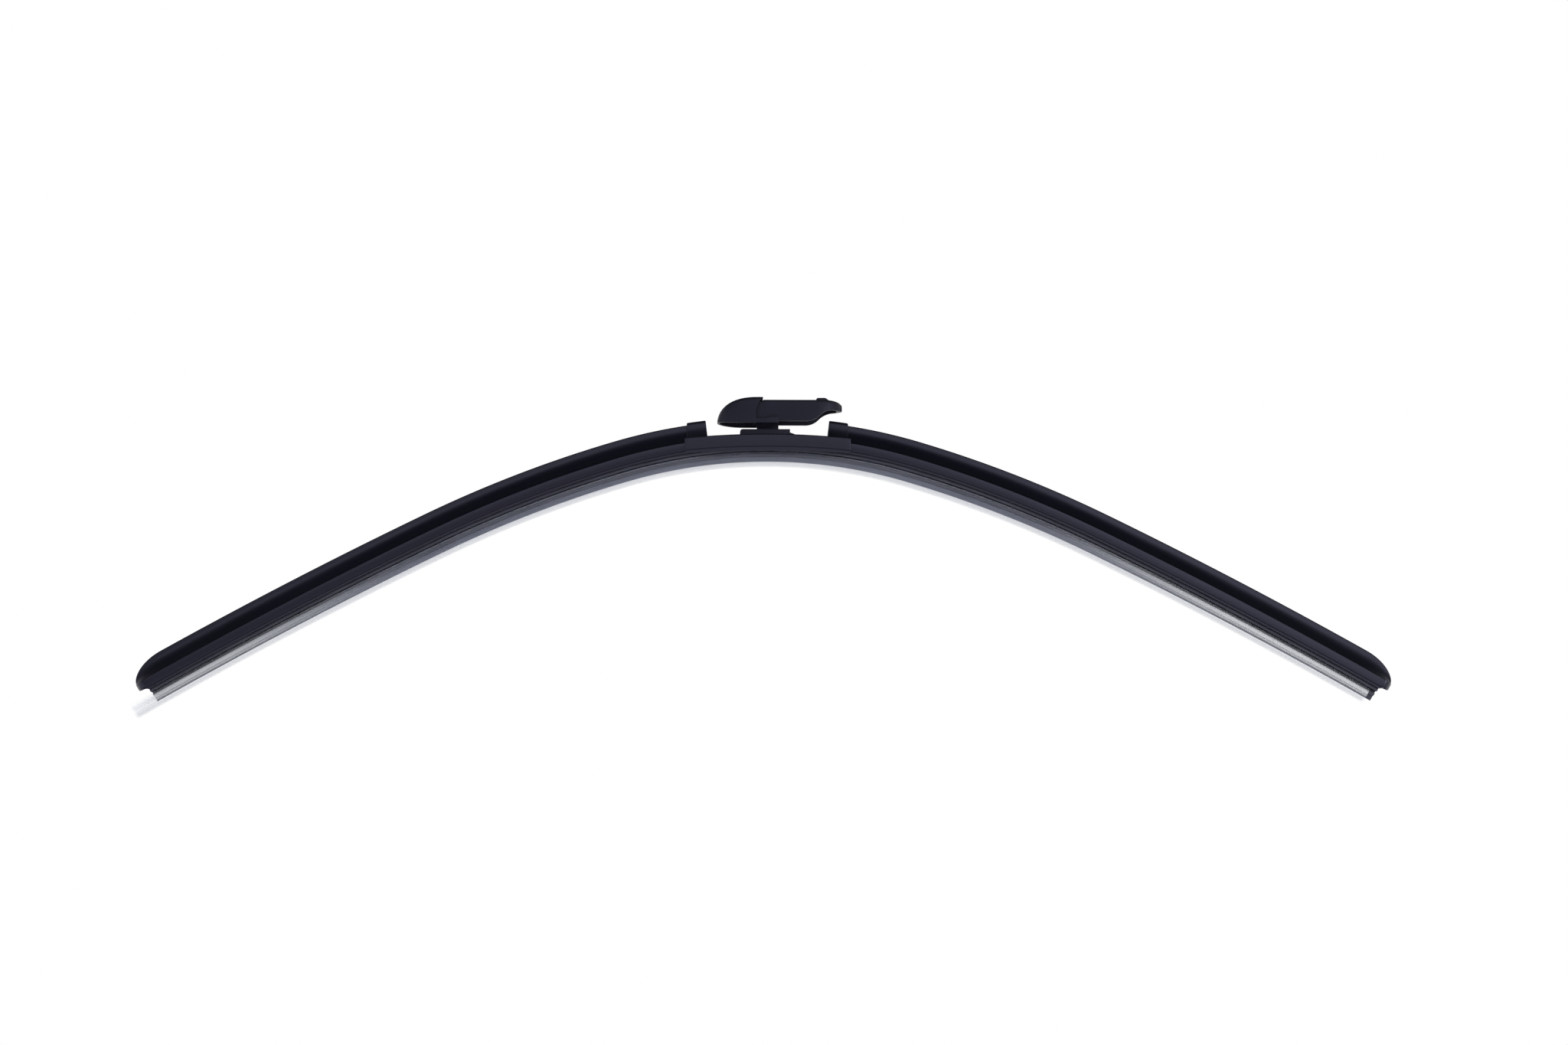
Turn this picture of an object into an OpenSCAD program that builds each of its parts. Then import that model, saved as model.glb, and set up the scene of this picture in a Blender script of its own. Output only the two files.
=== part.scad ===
// Flat-beam wiper blade with a push-fit arm adapter, in millimetres.
// X runs along the blade, Z points away from the glass, and -Y is the side that meets the air.
// The origin is on the flat top of the adapter, straight above the pivot pin.

/* [Arch] */
// Length of the rubber along its curve
rubber_len = 600; // [450:5:660]
// Radius of the middle arc, measured at the lip
arch_r1 = 226; // [215:1:300]
// Turn of the middle arc to each side, in degrees
arch_a1 = 16.6; // [14:0.1:20]
// Radius of the arc outside it
arch_r2 = 545; // [400:5:900]
// Turn of that arc, in degrees
arch_a2 = 9.5; // [6:0.1:12]
// Radius of the nearly straight outer stretch
arch_r3 = 2260; // [1500:10:5000]
// Height from the lip to the adapter's top face, at the centre
lip_drop = 27.7; // [27.2:0.1:32]

/* [Rubber] */
// Height of the wiping lip
lip_h = 2.25; // [1.8:0.05:2.4]
// Thickness of the lip
lip_t = 0.7; // [0.5:0.05:1]
// Height of the wedge above the lip
wedge_h = 1.45; // [1.3:0.05:1.8]
// Width of the wedge at its shoulder
shoulder_w = 4.2; // [3.4:0.1:4.4]
// Height of the thin neck that lets the wedge tip over
neck_h = 1; // [0.8:0.05:1.2]
// Thickness of the neck
neck_t = 1; // [0.8:0.1:1.4]
// Height of the flange that shows under the spoilers
flange_h = 1.1; // [0.8:0.1:1.4]
// Width of the flange
flange_w = 8.2; // [7.6:0.1:8.6]
// Width of the collar between the claws
collar_w = 7.6; // [7:0.1:7.8]
// Thickness of the web between the rail grooves
web_t = 1.9; // [1.6:0.1:2.2]
// Height of the head above the rails
head_h = 1.35; // [1:0.05:1.6]
// Width of the head
head_w = 6; // [5:0.1:6.4]

/* [Rails] */
// Thickness of each spring steel rail
rail_t = 0.9; // [0.7:0.05:1]
// Width over both rails
rails_w = 10; // [9.4:0.1:10.4]
// How far each rail stops short of the rubber's end
rail_end = 3; // [1:0.5:10]

/* [Spoiler] */
// Width of the spoiler's base
base_w = 13; // [12.6:0.1:14]
// Height of the base, from its claws to its ledge
base_h = 4.95; // [4.8:0.05:5.6]
// Thickness of each claw under its rail
claw_t = 1; // [0.8:0.05:1.2]
// Gap between the rubber's flange and the claws
claw_gap = 0.2; // [0.15:0.05:0.4]
// Width of the opening between the claws
claw_open = 8.2; // [7.9:0.1:8.6]
// Height of the fin above the ledge
fin_h = 8.85; // [7:0.05:9]
// Radius of the hollow front of the fin
fin_front_r = 8.9; // [8.5:0.1:9.6]
// Radius of the hollow back of the fin
fin_back_r = 18.8; // [15:0.1:24]
// Lean of the fin's back at its tip, in degrees
fin_back_lean = 5.8; // [3:0.1:9]
// Radius of the fin's tip
tip_r = 0.62; // [0.45:0.01:0.8]
// Distance of the fin's tip behind the middle
tip_y = 2; // [1:0.1:2.6]
// Where each spoiler starts, along the curve from the centre
spoiler_start = 27.4; // [27:0.1:30]
// Clearance round the rails and the rubber's head
fit = 0.15; // [0.1:0.01:0.2]

/* [End caps] */
// Length of each end cap
cap_len = 16.5; // [12:0.5:22]
// How far each cap reaches past the rubber
cap_over = 4.8; // [4:0.1:5.2]
// Length over which the cap's plan is rounded
cap_round = 4.4; // [3:0.1:4.5]
// Step up from the claws to the cap's closed underside
cap_step = 0.7; // [0.3:0.05:0.9]
// Height that the closed underside rises to the tip
cap_rise = 1.3; // [0.5:0.1:2]

/* [Bridge cover] */
// Half length of the cover
cover_half = 38; // [37:0.1:40]
// Wall of the cover
cover_wall = 1; // [0.8:0.05:1.1]
// Gap between each hood's inner wall and the spoiler's end
hood_gap = 0.3; // [0.2:0.05:0.6]
// Distance of each hood's mouth from the cover's end
hood_set = 0.8; // [0.4:0.1:1.2]
// Radius of the cover's long top edges, seen from the side
cover_r = 374; // [300:2:600]
// Height of the cover over the lip, at the centre
cover_top = 11.95; // [11.8:0.05:12.4]
// Depth of the cover's upright sides
side_h = 5.6; // [5:0.1:6]
// Depth of the skirt under them, at the centre
skirt_h = 2.3; // [1.5:0.1:2.4]
// How far the skirt's edge slopes in
skirt_in = 0.35; // [0.2:0.05:0.5]
// Radius of the skirt's edge, seen from the side
skirt_r = 630; // [400:10:900]
// Radius along the cover's edges
cover_edge_r = 0.6; // [0.3:0.05:0.7]

/* [Saddle] */
// Half length of the saddle on the rails
saddle_half = 17; // [15:0.5:20]
// Half length of the foot that stands through the cover
foot_half = 11.45; // [10:0.05:12]
// Width of the foot
foot_w = 12; // [10:0.1:12.4]
// Height of the foot over the lip
foot_top = 14.3; // [13.5:0.1:14.6]
// Offset of the foot to the left of the pin
foot_set = 1.25; // [0:0.05:1.5]
// Length of the low step on the foot's right
step_len = 2.1; // [1.5:0.1:2.4]
// Width of the lug along the blade
lug_w = 9.9; // [8:0.1:10.4]
// Thickness of the lug
lug_t = 6.6; // [5:0.1:6.8]
// Diameter of the pivot pin
pin_d = 4; // [3.6:0.1:4.4]
// Length of the pivot pin
pin_len = 11.6; // [11:0.1:12]
// Height of the pin's axis below the adapter's top face
pin_drop = 5.9; // [5.7:0.1:6.2]

/* [Adapter] */
// Width of the body that the arm slides over
body_w = 16.2; // [15.8:0.1:17]
// Depth of the body's side walls
body_h = 9.85; // [9.6:0.05:10.2]
// Wall of the body
body_wall = 1.3; // [1:0.05:1.5]
// Thickness of the body's top
body_top = 1.5; // [1.2:0.05:1.6]
// Distance from the pin to the tip of the tail
tail_x = 34.2; // [32:0.1:36]
// Where the walls start to sweep up into the tail
sweep_x = 17.6; // [16:0.1:19]
// Steepest slope of that sweep, in degrees
sweep_a = 46; // [42:0.5:48]
// Radius of the lower bend of the sweep
sweep_r1 = 8.7; // [8.2:0.1:9.2]
// Radius of the upper bend of the sweep
sweep_r2 = 8.9; // [8.4:0.1:9.2]
// Length over which the tail is rounded
tail_round = 11; // [9:0.1:12]
// Height of the tail's blunt tip
tail_t = 2.3; // [1.5:0.05:2.6]
// Radius along the top edges
edge_r = 1.2; // [0.6:0.1:1.4]

/* [Nose cover] */
// How far the nose cover stands proud of the body
nose_proud = 1.2; // [1:0.05:1.3]
// Distance from the pin to the tip of the nose
nose_x = 23.2; // [22:0.1:24]
// Length of the domed part
nose_dome = 18.2; // [16:0.1:19]
// Depth of the nose cover's rim below the adapter's top face
nose_rim = 10.8; // [10.4:0.1:11.2]
// Height that the rim rises to the tip of the nose
nose_lift = 0.9; // [0:0.1:1.5]
// Where the dome ends, in front of the pin
nose_seam = 2.2; // [1.6:0.1:3]
// Reach of the side arms behind the pin
arm_x = 4.9; // [4:0.1:6]
// Radius along the dome's edge
dome_r = 1.8; // [1.2:0.1:2.4]

/* [Lock button] */
// Length of the button along the adapter
button_len = 6.1; // [5:0.1:6.6]
// Width of the button
button_w = 7; // [5:0.1:8]
// Height of the button above the adapter's top face
button_h = 1.5; // [1.2:0.1:1.7]
// Distance from the pin to the middle of the button
button_x = 25.4; // [24.8:0.1:26]
// Gap round the button
button_gap = 0.35; // [0.25:0.05:0.5]
// Thickness of the spring tongue that carries it
tongue_t = 1.2; // [1:0.05:1.3]
// Distance from the pin to the tongue's root
root_x = 10.4; // [10:0.1:11]
// Radius of the round root that the tongue turns on
root_r = 1.1; // [1:0.05:1.2]

/* [Edge guard] */
// Width of the guard
guard_w = 6; // [5.6:0.1:6.4]
// Wall of the guard
guard_t = 0.45; // [0.35:0.05:0.6]
// Depth of the guard below the lip
guard_low = 2.2; // [1:0.1:3]
// How far the guard sticks out past the rubber on the left
guard_left = 11; // [0:0.5:20]
// How far it stops short on the right
guard_right = 2.2; // [0:0.1:5]
// Gap between the guard's lips and the rubber
guard_gap = 0.12; // [0.08:0.01:0.2]

/* [Hidden] */
$fa = 4;
$fs = 0.4;

near = -1;
far = 1;
eps = 0.01;
groove_fit = 0.05;

// Heights over the lip, piece by piece
shoulder_n = lip_h + wedge_h;
flange_n = shoulder_n + neck_h;
collar_n = flange_n + flange_h;
claw_n = collar_n + claw_gap;
rail_n = claw_n + claw_t + fit;
web_n = rail_n - groove_fit;
web_top_n = rail_n + rail_t + groove_fit;
head_n = web_top_n + head_h;
ledge_n = claw_n + base_h;
tip_n = ledge_n + fin_h - tip_r;
slot_n = rail_n + rail_t + fit;
pin_n = lip_drop - pin_drop;

// Lengths along the curve
deg = 180 / PI;
arch_l1 = arch_r1 * arch_a1 / deg;
arch_l2 = arch_r2 * arch_a2 / deg;
rubber_end = rubber_len / 2;
cap_tip = rubber_end + cap_over;
cap_seam = cap_tip - cap_len;
seam_gap = 0.05;

// Turn of the blade at a length s from the centre, in degrees
function arch_turn(s) =
    let (d = abs(s))
    sign(s) * (
        d < arch_l1 ? d / arch_r1 * deg :
        d < arch_l1 + arch_l2 ? arch_a1 + (d - arch_l1) / arch_r2 * deg :
        arch_a1 + arch_a2 + (d - arch_l1 - arch_l2) / arch_r3 * deg
    );

// Point of the lip at a length s from the centre, as [x, z]
function arch_point(s) =
    let (a = abs(arch_turn(s)), b = min(a, arch_a1), c = min(a, arch_a1 + arch_a2))
    [
        sign(s) * (arch_r1 * sin(b) + arch_r2 * (sin(c) - sin(b)) + arch_r3 * (sin(a) - sin(c))),
        -lip_drop - arch_r1 * (1 - cos(b)) - arch_r2 * (cos(b) - cos(c)) - arch_r3 * (cos(c) - cos(a))
    ];

// Puts a section point [y, n] on the blade at length s; n is its height over the lip
function on_blade(s, p) =
    let (q = arch_point(s), a = arch_turn(s))
    [q[0] + p[1] * sin(a), p[0], q[1] + p[1] * cos(a)];

function reversed(list) = [for (i = [len(list) - 1:-1:0]) list[i]];
function on_side(side, list) = [for (p = list) [side * p[0], p[1]]];
function ring(near_edge, far_edge) = concat(near_edge, reversed(far_edge));
function steps(a, b, step) =
    let (n = max(1, ceil((b - a) / step)))
    [for (i = [0:n - 1]) a + (b - a) * i / n];
function arc(centre, r, a, b, n) =
    [for (i = [0:n]) centre + r * [cos(a + (b - a) * i / n), sin(a + (b - a) * i / n)]];
function superellipse(u, power) = pow(max(0, 1 - pow(u, power)), 1 / power);

// Stations along the blade, closer where it bends more
reach = rubber_len;
knots = [-reach, -arch_l1 - arch_l2, -arch_l1, arch_l1, arch_l1 + arch_l2, reach];
knot_step = [34, 15, 10, 15, 34];
function stations(s0, s1) =
    concat(
        [
            for (k = [0:len(knot_step) - 1])
                let (a = max(s0, knots[k]), b = min(s1, knots[k + 1]))
                if (b - a > eps) each steps(a, b, knot_step[k])
        ],
        [s1]
    );

// Closed solid over rings of points. Each ring runs up the near edge and down the far edge.
module skin(rings) {
    n = len(rings[0]);
    last = len(rings) - 1;
    sides = [
        for (i = [0:last - 1], k = [0:n - 1])
            let (a = i * n + k, b = i * n + (k + 1) % n, c = b + n, d = a + n)
            each [[a, b, c], [a, c, d]]
    ];
    ends = [
        for (k = [0:n / 2 - 2])
            let (a = last * n + k, b = a + 1, c = last * n + n - 2 - k, d = c + 1)
            each [
                [a, b, c], [a, c, d],
                [k, n - 1 - k, n - 2 - k], [k, n - 2 - k, k + 1]
            ]
    ];
    polyhedron(points = [for (r = rings) each r], faces = concat(sides, ends));
}

// One section swept along the blade from s0 to s1
module sweep(s0, s1, section) {
    skin([for (s = stations(s0, s1)) [for (p = section) on_blade(s, p)]]);
}

// One section turned about the centre of the middle arc, from turn a0 to turn a1
module bend(a0, a1, section) {
    translate([0, 0, -lip_drop - arch_r1])
        rotate([90, 0, 0])
            rotate_extrude(start = 90 - a1, angle = a1 - a0, $fa = 2)
                polygon([for (p = section) [arch_r1 + p[1], -p[0]]]);
}

function mirrored(edge) = ring(on_side(near, edge), on_side(far, edge));

// Sections, as [y, n] points

rubber_section = mirrored([
    [lip_t / 2, 0], [lip_t / 2 + 0.1, lip_h], [lip_t / 2 + 0.55, lip_h + 0.25],
    [shoulder_w / 2, shoulder_n - 0.5], [shoulder_w / 2, shoulder_n],
    [neck_t / 2, shoulder_n + 0.1], [neck_t / 2, flange_n - 0.1], [flange_w / 2, flange_n],
    [flange_w / 2, collar_n], [collar_w / 2, collar_n + 0.05], [collar_w / 2, web_n],
    [web_t / 2, web_n + eps], [web_t / 2, web_top_n - eps], [head_w / 2, web_top_n],
    [head_w / 2, head_n]
]);

// Room for the rails and the rubber inside a spoiler, a cap or the saddle
channel_section = mirrored([
    [claw_open / 2, claw_n - 1], [claw_open / 2, claw_n + claw_t],
    [rails_w / 2 + fit, claw_n + claw_t + eps], [rails_w / 2 + fit, slot_n],
    [head_w / 2 + fit, slot_n + eps], [head_w / 2 + fit, head_n + fit]
]);

// Side of the spoiler's base, from its claw to its ledge
base_edge = [
    [base_w / 2 - 0.7, claw_n], [base_w / 2 - 0.35, claw_n + 0.6],
    [base_w / 2 - 0.35, claw_n + 1.05], [base_w / 2, claw_n + 1.25],
    [base_w / 2, ledge_n - 0.35], [base_w / 2 - 0.3, ledge_n - 0.05]
];

fin_points = 8;
tip_points = 3;

// The two edges of the fin, grown outwards by g, from height n0 over the lip
function fin_front(g, n0) =
    let (c = [tip_y - tip_r - fin_front_r, tip_n], r = fin_front_r - g)
    concat(
        arc(c, r, -asin((tip_n - n0) / r), 0, fin_points),
        [for (i = [1:tip_points]) [tip_y, tip_n] + (tip_r + g) * [-cos(i * 28), sin(i * 28)]]
    );
function fin_back(g, n0) =
    let (
        lean = [cos(fin_back_lean), sin(fin_back_lean)],
        c = [tip_y, tip_n] + (tip_r + fin_back_r) * lean,
        r = fin_back_r - g
    )
    concat(
        arc(c, r, 180 + asin((c[1] - n0) / r), 180 + fin_back_lean, fin_points),
        [for (i = [1:tip_points]) [tip_y, tip_n] + (tip_r + g) * [cos(i * 28), sin(i * 28)]]
    );

spoiler_section = ring(
    concat(on_side(near, base_edge), fin_front(0, ledge_n)),
    concat(base_edge, fin_back(0, ledge_n))
);

guard_section = let (
    w = guard_w / 2, r = 0.7, v = w - guard_t, lip = shoulder_n + guard_gap,
    grip = neck_t / 2 + 0.55
)
    concat(
        [
            [-grip, lip + guard_t], [-w, lip + guard_t], [-w, r - guard_low],
            [r - w, -guard_low], [w - r, -guard_low], [w, r - guard_low],
            [w, lip + guard_t], [grip, lip + guard_t]
        ],
        reversed([
            [-grip, lip], [-v, lip], [-v, r - guard_low], [r - w, guard_t - guard_low],
            [w - r, guard_t - guard_low], [v, r - guard_low], [v, lip], [grip, lip]
        ])
    );

cover_grow = fit + cover_wall;
function hood_section(g, n0) = ring(fin_front(g, n0), fin_back(g, n0));

// Pieces of the blade

module wiper_rubber() {
    color("#242426") sweep(-rubber_end, rubber_end, rubber_section);
}

module rail(side) {
    inner = web_t / 2 + groove_fit;
    outer = rails_w / 2;
    a = side > 0 ? inner : -outer;
    b = side > 0 ? outer : -inner;
    end = rubber_end - rail_end;
    color("#8d9094")
        sweep(-end, end, [[a, rail_n], [a, rail_n + rail_t], [b, rail_n + rail_t], [b, rail_n]]);
}

module spoiler(side) {
    s0 = side > 0 ? spoiler_start : seam_gap - cap_seam;
    s1 = side > 0 ? cap_seam - seam_gap : -spoiler_start;
    color("#1c1d20")
        difference() {
            sweep(s0, s1, spoiler_section);
            sweep(s0 - 1, s1 + 1, channel_section);
        }
}

// Shape of the cap at a distance u from its tip
function cap_point(u, p) =
    let (
        w = max(0.3, superellipse(max(0, 1 - u / cap_round), 2)),
        f = max(0.06, superellipse(max(0, 1 - u / cap_len), 2)),
        foot = claw_n + cap_step * min(1, max(0, (cap_round + cap_step - u) / cap_step / 2))
            + cap_rise * max(0, 1 - u / cap_round)
    )
    [
        p[0] * w,
        p[1] > ledge_n ? ledge_n + (p[1] - ledge_n) * f :
            foot + (p[1] - claw_n) * (ledge_n - foot) / (ledge_n - claw_n)
    ];

module end_cap(side) {
    k = cap_round / 100;
    us = concat(
        [for (t = [0, 6, 18, 38, 66, 94]) t * k],
        [for (t = [0, 0.12, 0.3, 0.52, 0.76, 1]) cap_round + cap_step + (cap_len - cap_round - cap_step) * t]
    );
    order = side > 0 ? reversed(us) : us;
    end = rubber_end + fit;
    color("#1c1d20")
        difference() {
            skin([
                for (u = order)
                    [for (p = spoiler_section) on_blade(side * (cap_tip - u), cap_point(u, p))]
            ]);
            sweep(
                side > 0 ? cap_seam - 1 : -end,
                side > 0 ? end : 1 - cap_seam,
                channel_section
            );
        }
}

module edge_guard() {
    color("#dfe3e8", 0.35)
        sweep(-rubber_end - guard_left, rubber_end - guard_right, guard_section);
}

// Drop of an arc of radius r at a distance x from its top
function sag(r, x) = r - sqrt(r * r - x * x);

// Ring of the cover's outside at x
function cover_ring(x) =
    let (
        e = cover_edge_r,
        t = max(0, 1 - (cover_half - abs(x)) / e),
        round = e * (1 - superellipse(min(1, t), 2)),
        w = base_w / 2 + cover_grow - 0.7 * round,
        top = cover_top - lip_drop - sag(cover_r, x) - round,
        crease = cover_top - lip_drop - sag(cover_r, x) - side_h,
        foot = cover_top - lip_drop - side_h - skirt_h - sag(skirt_r, x) + 0.4 * round
    )
    [
        for (p = mirrored([
            [w - skirt_in, foot], [w, crease], [w, top - e],
            [w - 0.3 * e, top - 0.3 * e], [w - e, top]
        ])) [x, p[0], p[1]]
    ];

// Turns that bound the cover's hoods
cover_turn = asin(cover_half / arch_r1) * 1.1;
hood_turn = (spoiler_start - hood_gap) / arch_r1 * deg;
hood_wall_turn = hood_turn - cover_wall / (arch_r1 + ledge_n) * deg;
hood_foot = ledge_n + 0.75 * cover_wall;
cover_cuts = 6;

module bridge_cover() {
    e = cover_edge_r;
    inner = cover_half - e;
    xs = concat(
        [-cover_half, 0.15 * e - cover_half, 0.5 * e - cover_half],
        [for (i = [-cover_cuts:cover_cuts]) inner * i / cover_cuts],
        [cover_half - 0.5 * e, cover_half - 0.15 * e, cover_half]
    );
    below = side_h + skirt_h;
    color("#1d1e21")
        difference() {
            union() {
                skin([for (x = xs) cover_ring(x)]);
                intersection() {
                    union() {
                        bend(-cover_turn, -hood_wall_turn, hood_section(cover_grow, hood_foot));
                        bend(hood_wall_turn, cover_turn, hood_section(cover_grow, hood_foot));
                    }
                    translate([hood_set - cover_half, -base_w, -lip_drop - cover_half])
                        cube([2 * (cover_half - hood_set), 2 * base_w, 2 * cover_half + lip_drop]);
                }
            }
            bend(-cover_turn, cover_turn, mirrored([
                [base_w / 2 + fit, cover_top - side_h - skirt_h - 2 * below],
                [base_w / 2 + fit, ledge_n + fit]
            ]));
            bend(-cover_turn, -hood_turn, hood_section(fit, ledge_n));
            bend(hood_turn, cover_turn, hood_section(fit, ledge_n));
            translate([-foot_set - foot_half - fit, -foot_w / 2 - fit, cover_top - lip_drop - cover_grow - 1])
                cube([2 * (foot_half + fit) + step_len, foot_w + 2 * fit, 2 * cover_grow + 2]);
        }
}

lug_top_r = lug_w / 2 - 1.1;
foot_round = 1.2;

// Side outline of the foot, as [x, height over the lip]
function foot_outline() =
    let (a = -foot_set - foot_half, b = foot_half - foot_set, low = ledge_n - 2)
    concat(
        [[a, low], [b + step_len, low], [b + step_len, cover_top + 0.1], [b, cover_top + 0.8], [b, foot_top]],
        [for (i = [0:3]) [a, foot_top] + foot_round * [1 - sin(i * 30), cos(i * 30) - 1]]
    );

module saddle() {
    turn = asin(saddle_half / arch_r1);
    plate_n = ledge_n;
    half_w = base_w / 2 - 0.1;
    color("#202124")
        difference() {
            union() {
                bend(-turn, turn, mirrored([[half_w, claw_n], [half_w, plate_n]]));
                translate([0, foot_w / 2, -lip_drop])
                    rotate([90, 0, 0])
                        linear_extrude(foot_w)
                            polygon(foot_outline());
                translate([-lug_w / 2, -lug_t / 2, foot_top - lip_drop - 1])
                    cube([lug_w, lug_t, 5]);
                translate([-lug_top_r, -lug_t / 2, foot_top - lip_drop - 1])
                    cube([2 * lug_top_r, lug_t, lip_drop - foot_top + 1 - pin_drop]);
                translate([0, 0, -pin_drop])
                    rotate([90, 0, 0])
                        cylinder(r = lug_top_r, h = lug_t, center = true);
            }
            bend(-turn - 1, turn + 1, channel_section);
            translate([0, 0, -pin_drop])
                rotate([90, 0, 0])
                    cylinder(d = pin_d + 0.02, h = lug_t + 2, center = true);
            for (side = [near, far])
                translate([-saddle_half / 2, side * base_w / 2 - 2, claw_n - lip_drop - 2])
                    cube([saddle_half, 4, rail_n + rail_t - claw_n + 1]);
        }
}

module pivot_pin() {
    chamfer = 0.3;
    r = pin_d / 2;
    h = pin_len / 2;
    color("#b9bcc0")
        translate([0, 0, -pin_drop])
            rotate([90, 0, 0])
                rotate_extrude()
                    polygon([
                        [0, -h], [r - chamfer, -h], [r, chamfer - h],
                        [r, h - chamfer], [r - chamfer, h], [0, h]
                    ]);
}

// Pieces of the adapter

sweep_x1 = sweep_x + sweep_r1 * sin(sweep_a);
sweep_z1 = sweep_r1 * (1 - cos(sweep_a)) - body_h;
sweep_c2 = [sweep_x1 + sweep_r2 * sin(sweep_a), sweep_z1 - sweep_r2 * cos(sweep_a)];
sweep_x2 = sweep_c2[0] - sweep_r2 * sin(5);
tail_low = sweep_c2[1] + sweep_r2 * cos(5);

// Lower edge, top and half width of the body at x; its top is stepped down under the nose cover
function body_foot(x) =
    x <= sweep_x ? -body_h :
    x <= sweep_x1 ? sweep_r1 - body_h - sqrt(pow(sweep_r1, 2) - pow(x - sweep_x, 2)) :
    x <= sweep_x2 ? sweep_c2[1] + sqrt(pow(sweep_r2, 2) - pow(x - sweep_c2[0], 2)) :
    tail_low;
function body_crown(x) =
    let (a = tail_x - 27.6, b = -tail_low - tail_t)
    x < seat_x0 ? -seat_step : x < tail_x - a ? 0 : b * superellipse((x - tail_x + a) / a, 2) - b;
function body_half(x) =
    let (u = (x - tail_x + tail_round) / tail_round)
    x < tail_x - tail_round ? body_w / 2 : max(2, body_w / 2 * superellipse(min(u, 1), 1.8));

// Ring of a box section with rounded top edges, at x
function arch_ring(x, w, foot, top, r) =
    let (
        c = min(r, 0.7 * w, 0.7 * (top - foot)),
        edge = concat([[w, foot]], [for (i = [0:4]) [w - c + c * cos(i * 22.5), top - c + c * sin(i * 22.5)]]),
        full = mirrored(edge)
    )
    [for (p = full) [x, p[0], p[1]]];

body_x0 = -7;
seat_x0 = -nose_seam + 0.1;
seat_step = 0.3;
body_stations = concat(
    [body_x0, seat_x0 - eps, seat_x0, 0, sweep_x],
    [for (i = [1:5]) sweep_x + (sweep_x1 - sweep_x) * i / 5],
    [for (i = [1:5]) sweep_x1 + (sweep_x2 - sweep_x1) * i / 5],
    [for (i = [1:6]) sweep_x2 + (tail_x - sweep_x2) * sin(i * 15)]
);
hollow_end = tail_x - 2.6;

cheek_gap = 0.3;
cheek_t = 2;
cheek_in = lug_t / 2 + cheek_gap;
cheek_r = pin_d / 2 + 2;
tongue_z = -body_top - 0.15;
root_z = tongue_z - tongue_t / 2 - 0.5;

module adapter_body() {
    color("#17181b")
        difference() {
            union() {
                difference() {
                    skin([
                        for (x = body_stations)
                            arch_ring(x, body_half(x), body_foot(x), body_crown(x), edge_r)
                    ]);
                    skin([
                        for (x = concat([body_x0 - 1], [for (x = body_stations) if (x > body_x0 && x < hollow_end) x], [hollow_end]))
                            arch_ring(
                                x, body_half(x) - body_wall, -body_h - 2,
                                min(0, body_crown(x)) - body_top, 0.5
                            )
                    ]);
                }
                for (side = [near, far]) {
                    translate([-cheek_r, side * (cheek_in + cheek_t / 2) - cheek_t / 2, -pin_drop])
                        cube([2 * cheek_r, cheek_t, pin_drop - eps - body_top / 2]);
                    translate([0, side * (cheek_in + cheek_t / 2), -pin_drop])
                        rotate([90, 0, 0])
                            cylinder(r = cheek_r, h = cheek_t, center = true);
                    translate([-0.6, side * (cheek_in + cheek_t) - (side < 0 ? body_w / 2 - cheek_in - cheek_t - eps : 0), -pin_drop])
                        cube([1.2, body_w / 2 - cheek_in - cheek_t - 0.5, pin_drop - body_top / 2]);
                }
                translate([root_x - root_r - 1.3, -button_w / 2, root_z - root_r - 0.9])
                    cube([2 * root_r + 2.6, button_w, -root_z + root_r + 0.9 - body_top / 2]);
            }
            translate([0, 0, -pin_drop])
                rotate([90, 0, 0])
                    cylinder(d = pin_d + 0.1, h = body_w - 2 * body_wall - 0.2, center = true);
            translate([-pin_d / 2 + 0.25, -cheek_in - cheek_t - 1, -pin_drop - cheek_r - 1])
                cube([pin_d - 0.5, 2 * (cheek_in + cheek_t + 1), cheek_r + 1]);
            translate([root_x, 0, root_z])
                rotate([90, 0, 0])
                    cylinder(r = root_r + 0.08, h = button_w + 1, center = true);
            translate([root_x, -button_w / 2 - 1, root_z - tongue_t / 2 - 0.5])
                cube([root_r + 3, button_w + 2, tongue_t + 1.2]);
            translate([button_x - button_len / 2 - button_gap, -button_w / 2 - button_gap, -body_top - 1])
                cube([button_len + 2 * button_gap, button_w + 2 * button_gap, body_top + 2]);
        }
}

function dome_u(x, a) = min(1, max(0, (nose_dome - nose_x - x) / a));

function nose_foot(x) = nose_lift * pow(max(0, (-x - nose_x / 2) / (nose_x / 2)), 2) - nose_rim;

module nose_shell(inset, down) {
    a = nose_dome - inset;
    tip = [0.012, 0.03, 0.07, 0.13, 0.21, 0.31, 0.43, 0.56, 0.7, 0.85, 1];
    xs = concat([for (t = tip) nose_dome - nose_x - a * (1 - t)], [arm_x + inset]);
    skin([
        for (x = xs)
            let (u = dome_u(x, a))
            arch_ring(
                x,
                (body_w / 2 + nose_proud - inset) * superellipse(u, 3),
                nose_foot(x) - down,
                (nose_rim + nose_proud - inset) * superellipse(u, 2.25) - nose_rim,
                max(0.4, dome_r - inset)
            )
    ]);
}

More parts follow.
